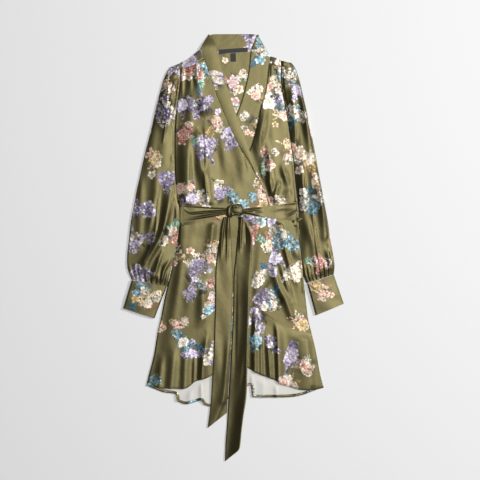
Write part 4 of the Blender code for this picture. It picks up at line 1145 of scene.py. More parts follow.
def rolled(plan, edges, width=2.4):
    """Drop of a piece towards its seams.  The edges are its left, right, top and bottom."""
    x, y, u, v = plan
    drop = np.zeros_like(x)
    across = np.hypot(x[:, -1:] - x[:, :1], y[:, -1:] - y[:, :1])
    down = np.hypot(x[-1:] - x[:1], y[-1:] - y[:1])
    for depth, reach in zip(edges, (u * across, (1 - u) * across, v * down, (1 - v) * down)):
        drop = np.maximum(drop, depth * (1.0 - np.clip(reach / width, 0.0, 1.0) ** 0.5))
    return drop


def panel(node, plan, under, finishes=("printed_satin", "wrong_side"), solid=WALL, wall=None,
          weave=None, edges=None):
    """Lay one cut piece whose solid has the given underside."""
    x, y = plan[:2]
    z = under + solid
    if edges:
        z = z - rolled(plan, edges)
    wall = wall or bpy.context.scene.dress_cloth.wall / MM
    ink_grid = None
    if "printed_satin" in finishes:
        layout = marks_for if finishes[0] == "printed_satin" else scattered
        ink_grid = painted(layout(node, x, y), x, y)
    LAID[node] = (x, y, z)
    piece = cloth(node + "_cloth", x, y, z, finishes, turns_left(x, y), wall,
                  ink_grid=ink_grid, weave=weave)
    return placed(piece, node)


def spacing():
    """Vertex spacing of the printed cloth in millimetres."""
    return bpy.context.scene.dress_cloth.spacing / MM


# Pieces

def make_back():
    """Back bodice, back skirt and back flounce, seen from their wrong side."""
    faces = ("wrong_side", "printed_satin")
    coarse = 4.0
    left = moved(between(LEFT_SIDE, SHOULDER_RIGHT_Y, WAIST_Y + SEAM), 2.0)
    right = moved(between(RIGHT_SIDE, SHOULDER_LEFT_Y, WAIST_Y + SEAM), -2.0)
    neck = [left[0], (-117, 514), (-91, 534), (-42, 530), (-1, 530), (39, 533), (93, 519), right[0]]
    plan = plan_inside(rounded(neck), [left[-1], right[-1]], left, right, coarse)
    panel("back_bodice", plan, back_z(plan[1]), faces)
    left = moved(between(LEFT_SIDE, WAIST_Y - SEAM, FLOUNCE_Y), 2.0)
    right = moved(between(RIGHT_SIDE, WAIST_Y - SEAM, FLOUNCE_Y), -2.0)
    seam = [left[-1]] + BACK_SKIRT_SEAM[1:-1] + [right[-1]]
    plan = plan_inside([left[0], right[0]], rounded(seam), left, right, coarse)
    panel("back_skirt", plan, back_z(plan[1]), faces)
    left = moved(between(LEFT_SIDE, FLOUNCE_Y - 2 * SEAM, HEM_RIGHT_Y), 2.0)
    right = moved(between(RIGHT_SIDE, FLOUNCE_Y - 2 * SEAM, HEM_LEFT_Y), -2.0)
    seam = [left[0]] + list(moved(BACK_SKIRT_SEAM[1:-1], 0.0, -2 * SEAM)) + [right[0]]
    hem = [left[-1]] + BACK_HEM[1:-1] + [right[-1]]
    plan = plan_inside(rounded(seam), rounded(hem), left, right, 2.4)
    x, y, u, v = plan
    panel("back_flounce", plan, back_wave(x, y, u, v), faces)
    line = spaced(rounded(hem), 300)
    across = beside(line, -8.5)
    if across[150, 1] < line[150, 1]:
        across = beside(line, 8.5)
    v, u = np.meshgrid(np.linspace(0.0, 1.0, 9), np.linspace(0.0, 1.0, 301), indexing="ij")
    x = line[None, :, 0] * (1 - v) + across[None, :, 0] * v
    y = line[None, :, 1] * (1 - v) + across[None, :, 1] * v
    z = back_wave(x, y, u, 1.0 - 0.06 * v) + 0.7 + 1.9 * np.sin(math.pi * v) ** 0.6
    ink_grid = painted(scattered("back_hem_fold", x, y, 7.0), x, y)
    strip = cloth("back_hem_fold", x, y, z, ("printed_satin", "printed_satin"),
                  turns_left(x, y), 0.5, ink_grid=ink_grid)
    LAID["back_hem_fold"] = (x, y, z)
    placed(strip, "back_flounce")


def front_hem_y(x):
    """Height at which the fronts' hems end."""
    rows = [np.array(sorted(p for p in hem if p[1] < -250)) for hem in (OVER_HEM, UNDER_HEM)]
    over = np.interp(x, rows[0][:, 0], rows[0][:, 1], right=0.0)
    under = np.interp(x, rows[1][:, 0], rows[1][:, 1], left=0.0)
    return np.minimum(over, under)


def back_wave(x, y, u, v):
    """Waves of the back's hem, low under the fronts and free below them."""
    free = smooth(front_hem_y(x) - y, 4.0, 26.0)
    return (smooth(v, 0.6, 1.0) * clear_of_tails(x, y) * flounce_wave(u, v, 13, 0.8)
            + free * clear_of_tails(x, y) * (flounce_wave(u, v, 11, 1.6) + 0.8
                                             + crease_height(CREASES["back_flounce"], x, y)))


def make_neck():
    """Back neck facing, back collar and the bare labels."""
    top = [(-58, 528), (-1, 528), (57, 530)]
    left = [(-58, 528), (-50, 480), (-32, 424), (-14, 378), (4, FACING_Y)]
    right = [(57, 530), (54, 479), (46, 437), (38, 399), (34, FACING_Y)]
    plan = plan_inside(top, [left[-1], right[-1]], rounded(left), rounded(right), spacing())
    x, y = plan[:2]
    panel("back_neck_facing", plan, STEP + 0.5 * slow_waves(x, y, 3, 60.0, 1.0))
    left = moved(between(OVER_EDGE_LINE, COLLAR_SIDE_Y, NECK_Y + 1.0), SEAM)
    right = moved(between(UNDER_EDGE_LINE, COLLAR_SIDE_Y, NECK_Y + 5.0), -SEAM)
    top = [left[0], (-55, 577), (0, COLLAR_Y), (55, 577), right[0]]
    bottom = [left[-1], (-1, NECK_Y + 1.0), right[-1]]
    plan = plan_inside(rounded(top), rounded(bottom), left, right, spacing())
    *_, v = plan
    panel("back_collar", plan, 1.4 * v)
    label_z = STEP + WALL + LAYER_GAP
    for node, left, right in (("main_label", [(-40, 535), (-39, 524)], [(38, 541), (39, 530)]),
                              ("size_tab", [(-9, 525), (-8, 502)], [(6, 526), (7, 503)])):
        plan = plan_inside([left[0], right[0]], [left[1], right[1]], left, right, 2.0)
        panel(node, plan, np.full_like(plan[0], label_z), ("label_tape",), 1.0, 0.8)


def band_z(y, base):
    """Underside of a front band, which falls to the floor beside the collar."""
    fall = smooth(y, NECK_Y + 8.0, COLLAR_Y)
    return base * (1.0 - fall) + LAYER_GAP * fall


def make_bands():
    """The two doubled bands that edge the fronts."""
    low_y = WAIST_Y + SEAM
    for node, left, right, base, right_drop in (
            ("front_band_left", (UNDER_EDGE_LINE, BAND_EDGE_TOP_Y), (UNDER_SEAM_LINE, BAND_TOP_Y),
             under_base, 1.0),
            ("front_band_right", (OVER_SEAM_LINE, BAND_TOP_Y), (OVER_EDGE_LINE, BAND_EDGE_TOP_Y),
             over_base, 1.2)):
        left, right = between(*left, low_y), between(*right, low_y)
        plan = plan_inside([left[0], right[0]], [left[-1], right[-1]], left, right, spacing())
        x, y = plan[:2]
        panel(node, plan, band_z(y, base(x, y)), ("printed_satin", "printed_satin"), BAND_WALL,
              1.4, edges=(1.0, right_drop, 0, 0))


def make_fronts():
    """Both fronts with their gathers, and the shoulder yokes."""
    low_y = WAIST_Y + SEAM
    left = between(LEFT_SIDE, YOKE_RIGHT_Y - SEAM, low_y)
    right = moved(between(OVER_SEAM_LINE, YOKE_RIGHT_END_Y - SEAM, low_y), -BAND_SEAM)
    plan = plan_inside(rounded([left[0], (-112, 491), right[0]]), [left[-1], right[-1]],
                       left, right, spacing())
    x, y = plan[:2]
    panel("front_bodice_right", plan, over_z(x, y, "front_bodice_right"), edges=(1.4, 2.0, 0.8, 0))
    shoulder = rounded([left[0] + (0, SHOULDER_RIGHT_Y - YOKE_RIGHT_Y + SEAM),
                        (-117, 514), (-91, 536)])
    inner = moved(OVER_SEAM_LINE, -BAND_SEAM)
    seam = rounded([(x_at(LEFT_SIDE, YOKE_RIGHT_Y), YOKE_RIGHT_Y), (-112, 491 + SEAM),
                    (float(x_at(inner, YOKE_RIGHT_END_Y)), YOKE_RIGHT_END_Y)])
    plan = plan_inside(shoulder, seam, [shoulder[0], seam[0]], [shoulder[-1], seam[-1]], spacing())
    x, y, _, v = plan
    panel("shoulder_yoke_right", plan, STEP + (over_base(x, y) - STEP) * (0.35 + 0.65 * v),
          edges=(1.2, 1.0, 0, 0.8))
    left = moved(between(UNDER_SEAM_LINE, YOKE_LEFT_END_Y - SEAM, low_y), BAND_SEAM)
    right = between(RIGHT_SIDE, YOKE_LEFT_Y - SEAM, low_y)
    plan = plan_inside(rounded([left[0], (114, 494), right[0]]), [left[-1], right[-1]],
                       left, right, spacing())
    x, y = plan[:2]
    panel("front_bodice_left", plan, under_z(x, y, "front_bodice_left"), edges=(1.0, 1.4, 0.8, 0))
    shoulder = rounded([(99.5, 517), (112, 514),
                        (float(x_at(RIGHT_SIDE, SHOULDER_LEFT_Y)), SHOULDER_LEFT_Y)])
    inner = moved(UNDER_SEAM_LINE, BAND_SEAM)
    seam = rounded([(float(x_at(inner, YOKE_LEFT_END_Y)), YOKE_LEFT_END_Y), (114, 494 + SEAM),
                    (float(x_at(RIGHT_SIDE, YOKE_LEFT_Y)), YOKE_LEFT_Y)])
    plan = plan_inside(shoulder, seam, [shoulder[0], seam[0]], [shoulder[-1], seam[-1]], spacing())
    x, y, _, v = plan
    panel("shoulder_yoke_left", plan, STEP + (under_base(x, y) - STEP) * v,
          edges=(1.0, 1.2, 0, 0.8))


def make_skirts():
    """Both skirt fronts."""
    top_y = WAIST_Y - SEAM
    seam = between(rounded(UNDER_SKIRT_SEAM), top_y - 1.0, FLOUNCE_Y)
    corner = len(seam) * 2 // 3
    right = between(RIGHT_SIDE, top_y, FLOUNCE_Y)
    left = np.vstack([[(seam[0][0], top_y)], seam[1:corner + 1]])
    bottom = np.vstack([seam[corner:-1], right[-1:]])
    plan = plan_inside([left[0], right[0]], bottom, left, right, spacing())
    x, y = plan[:2]
    panel("front_skirt_left", plan, under_z(x, y, "front_skirt_left"), edges=(1.0, 1.2, 0, 0))
    seam = between(rounded(OVER_SKIRT_SEAM), top_y - 1.0, FLOUNCE_Y)
    left = between(LEFT_SIDE, top_y, FLOUNCE_Y)
    right = np.vstack([[(seam[0][0], top_y)], seam[1:corner + 1]])
    bottom = np.vstack([left[-1:], seam[corner:-1][::-1]])
    plan = plan_inside([left[0], right[0]], bottom, left, right, spacing())
    x, y = plan[:2]
    panel("front_skirt_right", plan, over_z(x, y, "front_skirt_right"), edges=(1.2, 0, 0, 0))


def make_flounces():
    """The two curved front flounces."""
    gap = 0.5 * SEAM
    end = (float(x_at(RIGHT_SIDE, FLOUNCE_Y - gap)), FLOUNCE_Y - gap)
    middle = list(moved(UNDER_SKIRT_SEAM[1:-1], -gap * 0.7, -gap * 0.7))
    seam = rounded([(-74 - gap, 90)] + middle + [end])
    hem = rounded([(-90, 90)] + UNDER_HEM[1:])
    side = between(RIGHT_SIDE, end[1], HEM_LEFT_Y)
    plan = plan_inside(seam, np.vstack([hem[:-1], side[-1:]]), [seam[0], hem[0]], side, spacing())
    x, y, u, v = plan
    shown = smooth(x - wrap_edge_x(y), 3.0, 25.0) * clear_of_tails(x, y)
    fine = crease_height(CREASES["flounce_left"], x, y)
    own = under_base(x, y) + shown * kept_above(flounce_wave(u, v, 5, 1.0) + fine, 1.0, 1.0)
    share = smooth(v, 0.0, 0.16)
    panel("flounce_left", plan, own * share + under_z(x, y, "front_skirt_left") * (1.0 - share),
          edges=(0, 1.2, 0, 0.6))
    end = (float(x_at(LEFT_SIDE, FLOUNCE_Y - gap)), FLOUNCE_Y - gap)
    middle = list(moved(OVER_SKIRT_SEAM[1:-1], gap * 0.7, -gap * 0.7))
    seam = rounded([(77 + gap, 90)] + middle + [end])
    hem = rounded([(94, 90)] + OVER_HEM[1:])
    side = between(LEFT_SIDE, end[1], HEM_RIGHT_Y)
    plan = plan_inside(seam, np.vstack([hem[:-1], side[-1:]]), [seam[0], hem[0]], side, spacing())
    x, y, u, v = plan
    shown = clear_of_tails(x, y) * clear_of_belt(y)
    fine = crease_height(CREASES["flounce_right"], x, y)
    own = over_base(x, y) + shown * kept_above(flounce_wave(u, v, 5, 1.0) + fine, 1.0, 1.0)
    share = smooth(v, 0.0, 0.16)
    panel("flounce_right", plan, own * share + over_z(x, y, "front_skirt_right") * (1.0 - share),
          edges=(0, 1.2, 0, 0.6))


def beside(line, distance):
    """Step square to a border at each of its points; to its left, looking along it."""
    ahead = np.vstack([line[1:], line[-1:]]) - np.vstack([line[:1], line[:-1]])
    ahead /= np.hypot(*ahead.T)[:, None]
    return line + distance * np.stack([-ahead[:, 1], ahead[:, 0]], 1)


def tube(plan, top_z, edge, open_share):
    """Lay a flattened tube: fine on top, coarser where it rests, open along an armhole."""
    x, y, u, v = plan
    columns = x.shape[1]
    side = -0.5 * edge if turns_left(x, y) else 0.5 * edge
    out_first = np.stack([x[:, 0], y[:, 0]], 1)
    out_last = np.stack([x[:, -1], y[:, -1]], 1)
    first, last = beside(out_first, side), beside(out_last, -side)
    px = x + (first[:, :1] - x[:, :1]) * (1 - u) + (last[:, :1] - x[:, -1:]) * u
    py = y + (first[:, 1:] - y[:, :1]) * (1 - u) + (last[:, 1:] - y[:, -1:]) * u
    z = top_z(px, py, u, v)
    open_rows = v[:, 0] < open_share
    turn = np.linspace(0.0, math.pi, 7)[1:-1]

    def round_side(border, z_top, out):
        """Points round one side of the tube, from its top to its underside."""
        half = 0.5 * z_top[:, None]
        bx = border[:, :1] + (out[:, :1] - border[:, :1]) * np.sin(turn)[None]
        by = border[:, 1:] + (out[:, 1:] - border[:, 1:]) * np.sin(turn)[None]
        return bx, by, half + half * np.cos(turn)[None]

    fx, fy, fz = round_side(first, z[:, 0], out_first)
    lx, ly, lz = round_side(last, z[:, -1], out_last)
    low = sorted({*range(0, columns, 4), columns - 1})
    ring_x = np.hstack([px[:, ::-1], fx, px[:, low], lx[:, ::-1], px[:, -1:]])
    ring_y = np.hstack([py[:, ::-1], fy, py[:, low], ly[:, ::-1], py[:, -1:]])
    ring_z = np.hstack([z[:, ::-1], fz, np.zeros_like(px[:, low]), lz[:, ::-1], z[:, -1:]])
    return (ring_x, ring_y, ring_z), int(open_rows.sum())


def lay_tube(node, x, y, ring, wall, closed_from, hidden_density=None):
    """Print a tube on top, and where it rests if a density is given, and place it."""
    ring_x, ring_y, ring_z = ring
    top, rest = slice(0, x.shape[1]), slice(x.shape[1], None)
    ink_grid = np.zeros(ring_x.shape + (6,))
    ink_grid[:, top] = painted(marks_for(node, x, y), ring_x[:, top], ring_y[:, top])
    if hidden_density:
        hidden = scattered(node, ring_x, ring_y, hidden_density)
        ink_grid[:, rest] = painted(hidden, ring_x[:, rest], ring_y[:, rest])
    piece = cloth(node + "_cloth", ring_x, ring_y, ring_z, ("printed_satin", "wrong_side"),
                  not turns_left(x, y), wall, closed_from=closed_from, ink_grid=ink_grid)
    LAID[node] = tuple(grid[:, top][:, ::-1] for grid in ring)
    placed(piece, node)


def make_sleeve(node, side, outer, inner, top_y, under_y, outer_y):
    """One full sleeve: gathered head, long folds, and gathers above the cuff."""
    shift, lean = (-ARMHOLE_SEAM, 1.5) if node == "sleeve_right" else (ARMHOLE_SEAM, 0.75)
    outer, inner = rounded(outer), moved(rounded(inner), 1.3 if node == "sleeve_right" else -1.6)
    armhole = moved(between(side, top_y, under_y), shift)
    armhole[-1] = inner[0]
    gap = spacing()
    rows = round(length_of(outer) / gap)
    columns = round(118.0 / gap)
    # rows run from the outer side to the armhole, then to the inner side
    share = np.linspace(0.0, 1.0, rows + 1)
    cap_rows = round(rows * CAP_SHARE)
    cap_outer = spaced(between(outer, outer[0][1], outer_y), cap_rows)
    low_outer = spaced(between(outer, outer_y, outer[-1][1]), rows - cap_rows)
    cap_inner = spaced(armhole, cap_rows)
    low_inner = spaced(inner, rows - cap_rows)
    a = np.vstack([cap_outer, low_outer[1:]])
    b = np.vstack([cap_inner, low_inner[1:]])
    u = np.linspace(0.0, 1.0, columns + 1)[None] * np.ones((rows + 1, 1))
    v = share[:, None] * np.ones((1, columns + 1))
    x = a[:, :1] * (1 - u) + b[:, :1] * u
    y = a[:, 1:] * (1 - u) + b[:, 1:] * u

    def top_z(x, y, u, v):
        dome = SLEEVE_DOME * np.sin(math.pi * (0.04 + 0.92 * u ** lean)) ** 1.1
        dome = dome * smooth(v, -0.3, 0.2) * (1.0 - 0.55 * smooth(v, 0.9, 1.0))
        inside = smooth(u, 0.0, 0.07) * smooth(1.0 - u, 0.0, 0.07)
        folds = 0.2 * ridge_height(MAIN_FOLDS[node], x, y) + crease_height(CREASES[node], x, y)
        count = 15.0 * v + 0.8 * np.sin(9 * v)
        head = smooth(u, 0.5, 1.0) * (0.5 - 0.5 * np.cos(2.0 * math.pi * count))
        head = head * (1.0 - smooth(v, 0.24, 0.36))
        turn = 8.0 * u + 0.35 * np.sin(5.0 * u + 1.0)
        cuff = smooth(v, 0.93, 0.99) * (0.5 - 0.5 * np.cos(2.0 * math.pi * turn))
        height = SLEEVE_EDGE + dome + folds * inside + 2.0 * head + 2.8 * inside * cuff
        at_armhole = smooth(v, 0.46, 0.40) * smooth(u, 0.86, 1.0)
        height = height * (1.0 - at_armhole) + 4.6 * at_armhole
        at_cuff = smooth(v, 0.97, 1.0)
        height = height * (1.0 - 0.35 * at_cuff)
        return np.maximum(height, 2.6)

    ring, open_rows = tube((x, y, u, v), top_z, SLEEVE_EDGE, CAP_SHARE)
    lay_tube(node, x, y, ring, bpy.context.scene.dress_cloth.wall / MM, open_rows,
             hidden_density=2.0)


def make_sleeves():
    """Two full sleeves."""
    make_sleeve("sleeve_right", LEFT_SIDE, RIGHT_SLEEVE_OUTER, RIGHT_SLEEVE_INNER,
                top_y=498.0, under_y=318.0, outer_y=331.0)
    make_sleeve("sleeve_left", RIGHT_SIDE, LEFT_SLEEVE_OUTER, LEFT_SLEEVE_INNER,
                top_y=505.0, under_y=334.0, outer_y=347.0)


def make_cuffs():
    """Two deep cuffs, each a low flat tube."""
    for node, ends, outer_low, inner_low, gap in (
            ("cuff_right", (RIGHT_SLEEVE_OUTER[-1], RIGHT_SLEEVE_INNER[-1]),
             (-298, -163), (-213, -190), -SEAM),
            ("cuff_left", (LEFT_SLEEVE_OUTER[-1], LEFT_SLEEVE_INNER[-1]),
             (298, -151), (222, -182), SEAM)):
        outer_top, inner_top = beside(np.array(ends, float), gap)
        plan = plan_inside([outer_top, inner_top], [outer_low, inner_low],
                           [outer_top, outer_low], [inner_top, inner_low], spacing())
        x, y = plan[:2]

        def top_z(x, y, u, v):
            return (CUFF_HEIGHT + CUFF_BULGE * np.sin(math.pi * u) + slow_waves(x, y, 5, 70.0, 1.2)
                    + crease_height(CREASES["cuff_left"], x, y))

        ring, _ = tube(plan, top_z, CUFF_HEIGHT, 0.0)
        lay_tube(node, x, y, ring, CUFF_WALL, closed_from=0)


def belt_z(x, y):
    """Underside of the belt where it lies on the wrapped fronts."""
    share = smooth(x, 112.0, 140.0)
    return ((over_base(x, y) + BAND_WALL + LAYER_GAP) * (1.0 - share)
            + (under_base(x, y) + BAND_WALL + LAYER_GAP) * share)


def belt_plan(x0, x1, low_left, low_right, top_left, top_right, gap):
    """Plan of a belt piece between two ends."""
    top, bottom = [(x0, top_left), (x1, top_right)], [(x0, low_left), (x1, low_right)]
    return plan_inside(top, bottom, [top[0], bottom[0]], [top[1], bottom[1]], gap)


BELT_CREASES = {
    # height, west, east, start, end, points
    "belt_front_right": [
        (2, 1.4, 2, 0.5, 1, ((-142, 114), (-104, 111), (-20, 105))),
        (3.4, 1.9, 3.2, 0.2, 1, ((-135, 106), (-117, 94), (-99, 93), (-63, 96), (-20, 98))),
        (3.4, 2.2, 4.2, 0.1, 1, ((-128, 76), (-90, 82), (-58, 87), (-20, 93))),
    ],
    "belt_front_left": [
        (2.2, 1.4, 2, 1, 0.2, ((26, 105), (58, 112), (88, 116))),
        (3.2, 2.2, 2.6, 1, 0, ((26, 102), (50, 105), (82, 110))),
        (2.2, 3.6, 3, 0.6, 0, ((34, 98), (58, 98), (85, 100))),
        (3.2, 2.5, 3.6, 1, 0.1, ((26, 97), (50, 93), (80, 84))),
        (-1.3, 1.2, 1.2, 0.4, 1, ((77, 117), (171, 118))),
        (1.2, 6, 8, 0, 0.5, ((93, 97), (131, 107), (171, 105))),
        (4.4, 32, 2, 1, 1, ((168, 121), (168, 78))),
        (-1.4, 2, 3, 0, 0.6, ((134, 80), (158, 92), (171, 97))),
    ],
    "belt_tail_right": [
        (4.6, 6, 2.6, 1, 0, ((-22, 86), (-27, 59), (-31, 21), (-34, -38))),
        (-2.6, 1.7, 1.7, 1, 0, ((-19, 83), (-23, 59), (-25, 16))),
        (2.6, 3, 3.4, 1, 0, ((-14, 86), (-16, 21), (-18, -55))),
        (-2.2, 1.6, 1.6, 1, 0, ((-9, 86), (-10, 7))),
        (3.2, 9, 5, 0, 0.6, ((-12, -222), (-19, -330), (-26, -416))),
        (3, 16, 8, 0, 1, ((-20, -371), (-34, -425), (-55, -476))),
    ],
    "belt_tail_left": [
        (5.4, 5, 3.2, 1, 0, ((22, 86), (20, 48), (18, -20))),
        (3.2, 7, 2.4, 1, 0.2, ((28, 86), (39, 61), (48, 34), (49, -6))),
        (-2.4, 1.8, 1.8, 1, 0, ((32, 80), (32, 43), (34, -1))),
        (11, 20, 2.6, 0.3, 1, ((51, 43), (46, -141), (43, -303), (36, -438), (24, -560))),
        (1.4, 4, 12, 0, 0, ((14, -6), (12, -222), (7, -425))),
        (2.4, 10, 6, 0, 0, ((26, -249), (20, -335), (12, -400))),
        (7, 24, 5, 0, 1, ((38, -389), (27, -492), (12, -568))),
    ],
    "belt_knot": [
        (-4.2, 1.5, 1.3, 0.9, 1, ((-4, 115), (-7, 99), (-5, 82))),
        (-1.4, 1.2, 1.2, 0.2, 0.6, ((-16, 107), (-17, 91))),
        (-2.4, 1.5, 1.3, 1, 0.2, ((-3, 108), (8, 108), (13, 105))),
        (-2, 1.3, 1.4, 1, 0.3, ((10, 119), (14, 107))),
        (-2.2, 1.4, 1.4, 0.3, 1, ((1, 93), (14, 93), (22, 87))),
    ],
}
KNOT_OUTLINE = [
    (-21, 99), (-19, 108), (-13, 114), (-4, 116), (4, 116), (12, 119), (22, 116), (26, 106),
    (27, 93), (22, 87), (9, 87), (0, 86), (-7, 81), (-15, 81), (-20, 88),
]
KNOT_LOBES = [
    # middle x and y, half width and height, lean, share of the knot's height
    (-13.0, 98.0, 9.5, 19.0, 0.2, 1.0), (10.0, 103.0, 19.0, 15.0, -0.25, 0.86),
    (4.0, 112.0, 14.0, 9.0, 0.1, 0.95),
]


def make_belt():
    """The belt's halves, the stretch behind the back, and its loops."""
    satin_only = ("olive_satin", "olive_satin")
    low, top = WAIST_Y - BELT_HALF, WAIST_Y + BELT_HALF
    plan = belt_plan(BELT_LEFT_X + 1, BELT_RIGHT_X - 1, low, low, top, top, 4.0)
    panel("belt_back", plan, np.zeros_like(plan[0]), satin_only)
    for node, ends in (
            ("belt_front_right", (BELT_LEFT_X, KNOT_LEFT_X - SEAM, 66.0, 90.0, 115.0, 107.0)),
            ("belt_front_left", (KNOT_RIGHT_X + SEAM, BELT_RIGHT_X, 89.0, 73.0, 106.0, 121.0))):
        plan = belt_plan(*ends, 1.3)
        x, y = plan[:2]
        folds = kept_above(crease_height(BELT_CREASES[node], x, y), 0.8, 0.8)
        panel(node, plan, belt_z(x, y) + folds, satin_only,
              weave=np.stack([y, x], -1) * MM)
    for node, x0 in (("belt_loop_right", -139.0), ("belt_loop_left", 164.0)):
        top_y, low_y = top + 8.0, low - 8.0
        plan = belt_plan(x0, x0 + 6.0, low_y, low_y, top_y, top_y, 1.6)
        x, y = plan[:2]
        over_belt = 1.0 - smooth(np.abs(y - WAIST_Y), BELT_HALF + 4.0, BELT_HALF + 8.0)
        panel(node, plan, belt_z(x, y) + 3.4 * over_belt, satin_only)
    v, u = np.meshgrid(np.linspace(0.0, 1.0, 15), np.linspace(0.0, 2.0 * math.pi, 49), indexing="ij")
    reach = 1.0 + 0.16 * np.sin(3.0 * u + 0.6) + 0.1 * np.sin(5.0 * u)
    x = 168.0 + 14.5 * v * reach * np.cos(u)
    y = 76.0 + 8.0 * v * reach * np.sin(u) - 0.12 * v * np.cos(u)
    z = 7.6 + 2.6 * (1.0 - v ** 3) + slow_waves(x, y, 21, 9.0, 3.4) * (1.0 - v ** 4)
    crumple = cloth("belt_loop_left_crumple", x, y, z, satin_only, turns_left(x, y), 0.5,
                    closed_from=0)
    placed(crumple, "belt_loop_left")


def tail_z(x, y):
    """Underside of a tail, which leaves the hem and comes down to the floor."""
    fall = smooth(-y, 330.0, 478.0)
    return (over_base(x, y) + BAND_WALL + LAYER_GAP) * (1.0 - fall)


def make_tails():
    """The two hanging ends of the belt, cut to points."""
    for node, left, right in (
            ("belt_tail_right", TAIL_RIGHT_LEFT_EDGE, TAIL_RIGHT_RIGHT_EDGE),
            ("belt_tail_left", TAIL_LEFT_LEFT_EDGE, TAIL_LEFT_RIGHT_EDGE)):
        left, right = rounded(left), rounded(right)
        plan = plan_inside([left[0], right[0]], [left[-1], right[-1]], left, right, 2.0)
        x, y = plan[:2]
        folds = crease_height(BELT_CREASES[node], x, y) + 0.5 * slow_waves(x, y, 11, 55.0, 3.0)
        panel(node, plan, tail_z(x, y) + kept_above(folds, 0.8, 1.8),
              ("olive_satin", "olive_satin"), edges=(2.4, 1.6, 0, 0))


def make_knot():
    """The knot: gathered lobes pulled round each other."""
    outline = rounded(KNOT_OUTLINE + KNOT_OUTLINE[:1], 6)
    middle = np.array([0.5 * (KNOT_RIGHT_X + KNOT_LEFT_X), 101.0])
    floor_z = float(over_base(middle[:1], middle[1:])[0]) + STEP
    v = np.linspace(0.0, 1.0, 31)[:, None]
    x = middle[0] + (outline[None, :, 0] - middle[0]) * v
    y = middle[1] + (outline[None, :, 1] - middle[1]) * v
    rim = (1.0 - v ** 8) ** 0.5
    lobes = []
    for cx, cy, wide, high, lean, level in KNOT_LOBES:
        bulge = 1.0 - ((x - cx) / wide) ** 2 - ((y - cy - lean * (x - cx)) / high) ** 2
        lobes.append(np.clip(bulge, 0.0, 1.0) ** 0.7 * level)
    height = KNOT_HEIGHT * rim * (0.74 + 0.26 * np.maximum.reduce(lobes))
    height += crease_height(BELT_CREASES["belt_knot"], x, y) * smooth(rim, 0.0, 0.6)
    z = floor_z + np.maximum(height, 0.0)
    piece = cloth("belt_knot_cloth", x, y, z, ("olive_satin", "olive_satin"), turns_left(x, y), 0.6,
                  closed_from=0)
    placed(piece, "belt_knot")


# Stitches

def line_along(node, side, distance, lift=0.12):
    """Follow one side of a laid piece at a set distance inside it."""
    grid = np.stack(LAID[node], -1)
    if side in ("top", "bottom"):
        grid = grid.transpose(1, 0, 2)
    if side in ("right", "bottom"):
        grid = grid[:, ::-1]
    points = []
    for row in grid:
        reach = np.concatenate(([0.0], np.cumsum(np.hypot(*np.diff(row[:, :2], axis=0).T))))
        points.append([np.interp(distance, reach, row[:, k]) for k in range(3)])
    return np.array(points) + (0.0, 0.0, lift)


def stitch_tree():
    """Node tree that lays stitches along lines: one flat bead of thread at each step."""
    found = bpy.data.node_groups.get("Stitch rows")
    if found:
        return found
    tree = bpy.data.node_groups.new("Stitch rows", "GeometryNodeTree")
    sockets = tree.interface
    sockets.new_socket("Lines", in_out="INPUT", socket_type="NodeSocketGeometry")
    for name, value in (("Pitch", 0.0027), ("Length", 0.0019), ("Thread", 0.0005)):
        socket = sockets.new_socket(name, in_out="INPUT", socket_type="NodeSocketFloat")
        socket.subtype, socket.default_value = "DISTANCE", value
    sockets.new_socket("Seed", in_out="INPUT", socket_type="NodeSocketInt").default_value = 4
    sockets.new_socket("Finish", in_out="INPUT", socket_type="NodeSocketMaterial")
    sockets.new_socket("Stitches", in_out="OUTPUT", socket_type="NodeSocketGeometry")
    link = tree.links.new
    start = node_of(tree, "NodeGroupInput", (-900, 0))
    curve = node_of(tree, "GeometryNodeMeshToCurve", (-700, 100))
    steps = node_of(tree, "GeometryNodeResampleCurve", (-500, 100), mode="LENGTH")
    bead = node_of(tree, "GeometryNodeMeshUVSphere", (-500, -150), Segments=5, Rings=3, Radius=0.5)
    smooth_bead = node_of(tree, "GeometryNodeSetShadeSmooth", (-300, -150))
    size = node_of(tree, "ShaderNodeCombineXYZ", (-500, -350))
    uneven = node_of(tree, "FunctionNodeRandomValue", (-500, -550), data_type="FLOAT")
    uneven.inputs[2].default_value, uneven.inputs[3].default_value = 0.85, 1.12
    scale = node_of(tree, "ShaderNodeVectorMath", (-300, -350), operation="SCALE")
    ahead = node_of(tree, "GeometryNodeInputTangent", (-500, 300))
    turn = node_of(tree, "FunctionNodeAlignRotationToVector", (-300, 300), axis="X")
    put = node_of(tree, "GeometryNodeInstanceOnPoints", (-100, 100))
    real = node_of(tree, "GeometryNodeRealizeInstances", (100, 100))
    finish = node_of(tree, "GeometryNodeSetMaterial", (300, 100))
    end = node_of(tree, "NodeGroupOutput", (500, 100))
    link(start.outputs["Lines"], curve.inputs["Mesh"])
    link(curve.outputs["Curve"], steps.inputs["Curve"])
    link(start.outputs["Pitch"], steps.inputs["Length"])
    link(start.outputs["Length"], size.inputs["X"])
    link(start.outputs["Thread"], size.inputs["Y"])
    link(start.outputs["Thread"], size.inputs["Z"])
    link(start.outputs["Seed"], uneven.inputs["Seed"])
    link(size.outputs["Vector"], scale.inputs[0])
    link(uneven.outputs[1], scale.inputs["Scale"])
    link(ahead.outputs["Tangent"], turn.inputs["Vector"])
    link(bead.outputs["Mesh"], smooth_bead.inputs["Geometry"])
    link(steps.outputs["Curve"], put.inputs["Points"])
    link(smooth_bead.outputs["Geometry"], put.inputs["Instance"])
    link(turn.outputs["Rotation"], put.inputs["Rotation"])
    link(scale.outputs["Vector"], put.inputs["Scale"])
    link(put.outputs["Instances"], real.inputs["Geometry"])
    link(real.outputs["Geometry"], finish.inputs["Geometry"])
    link(start.outputs["Finish"], finish.inputs["Material"])
    link(finish.outputs["Geometry"], end.inputs["Stitches"])
    return tree


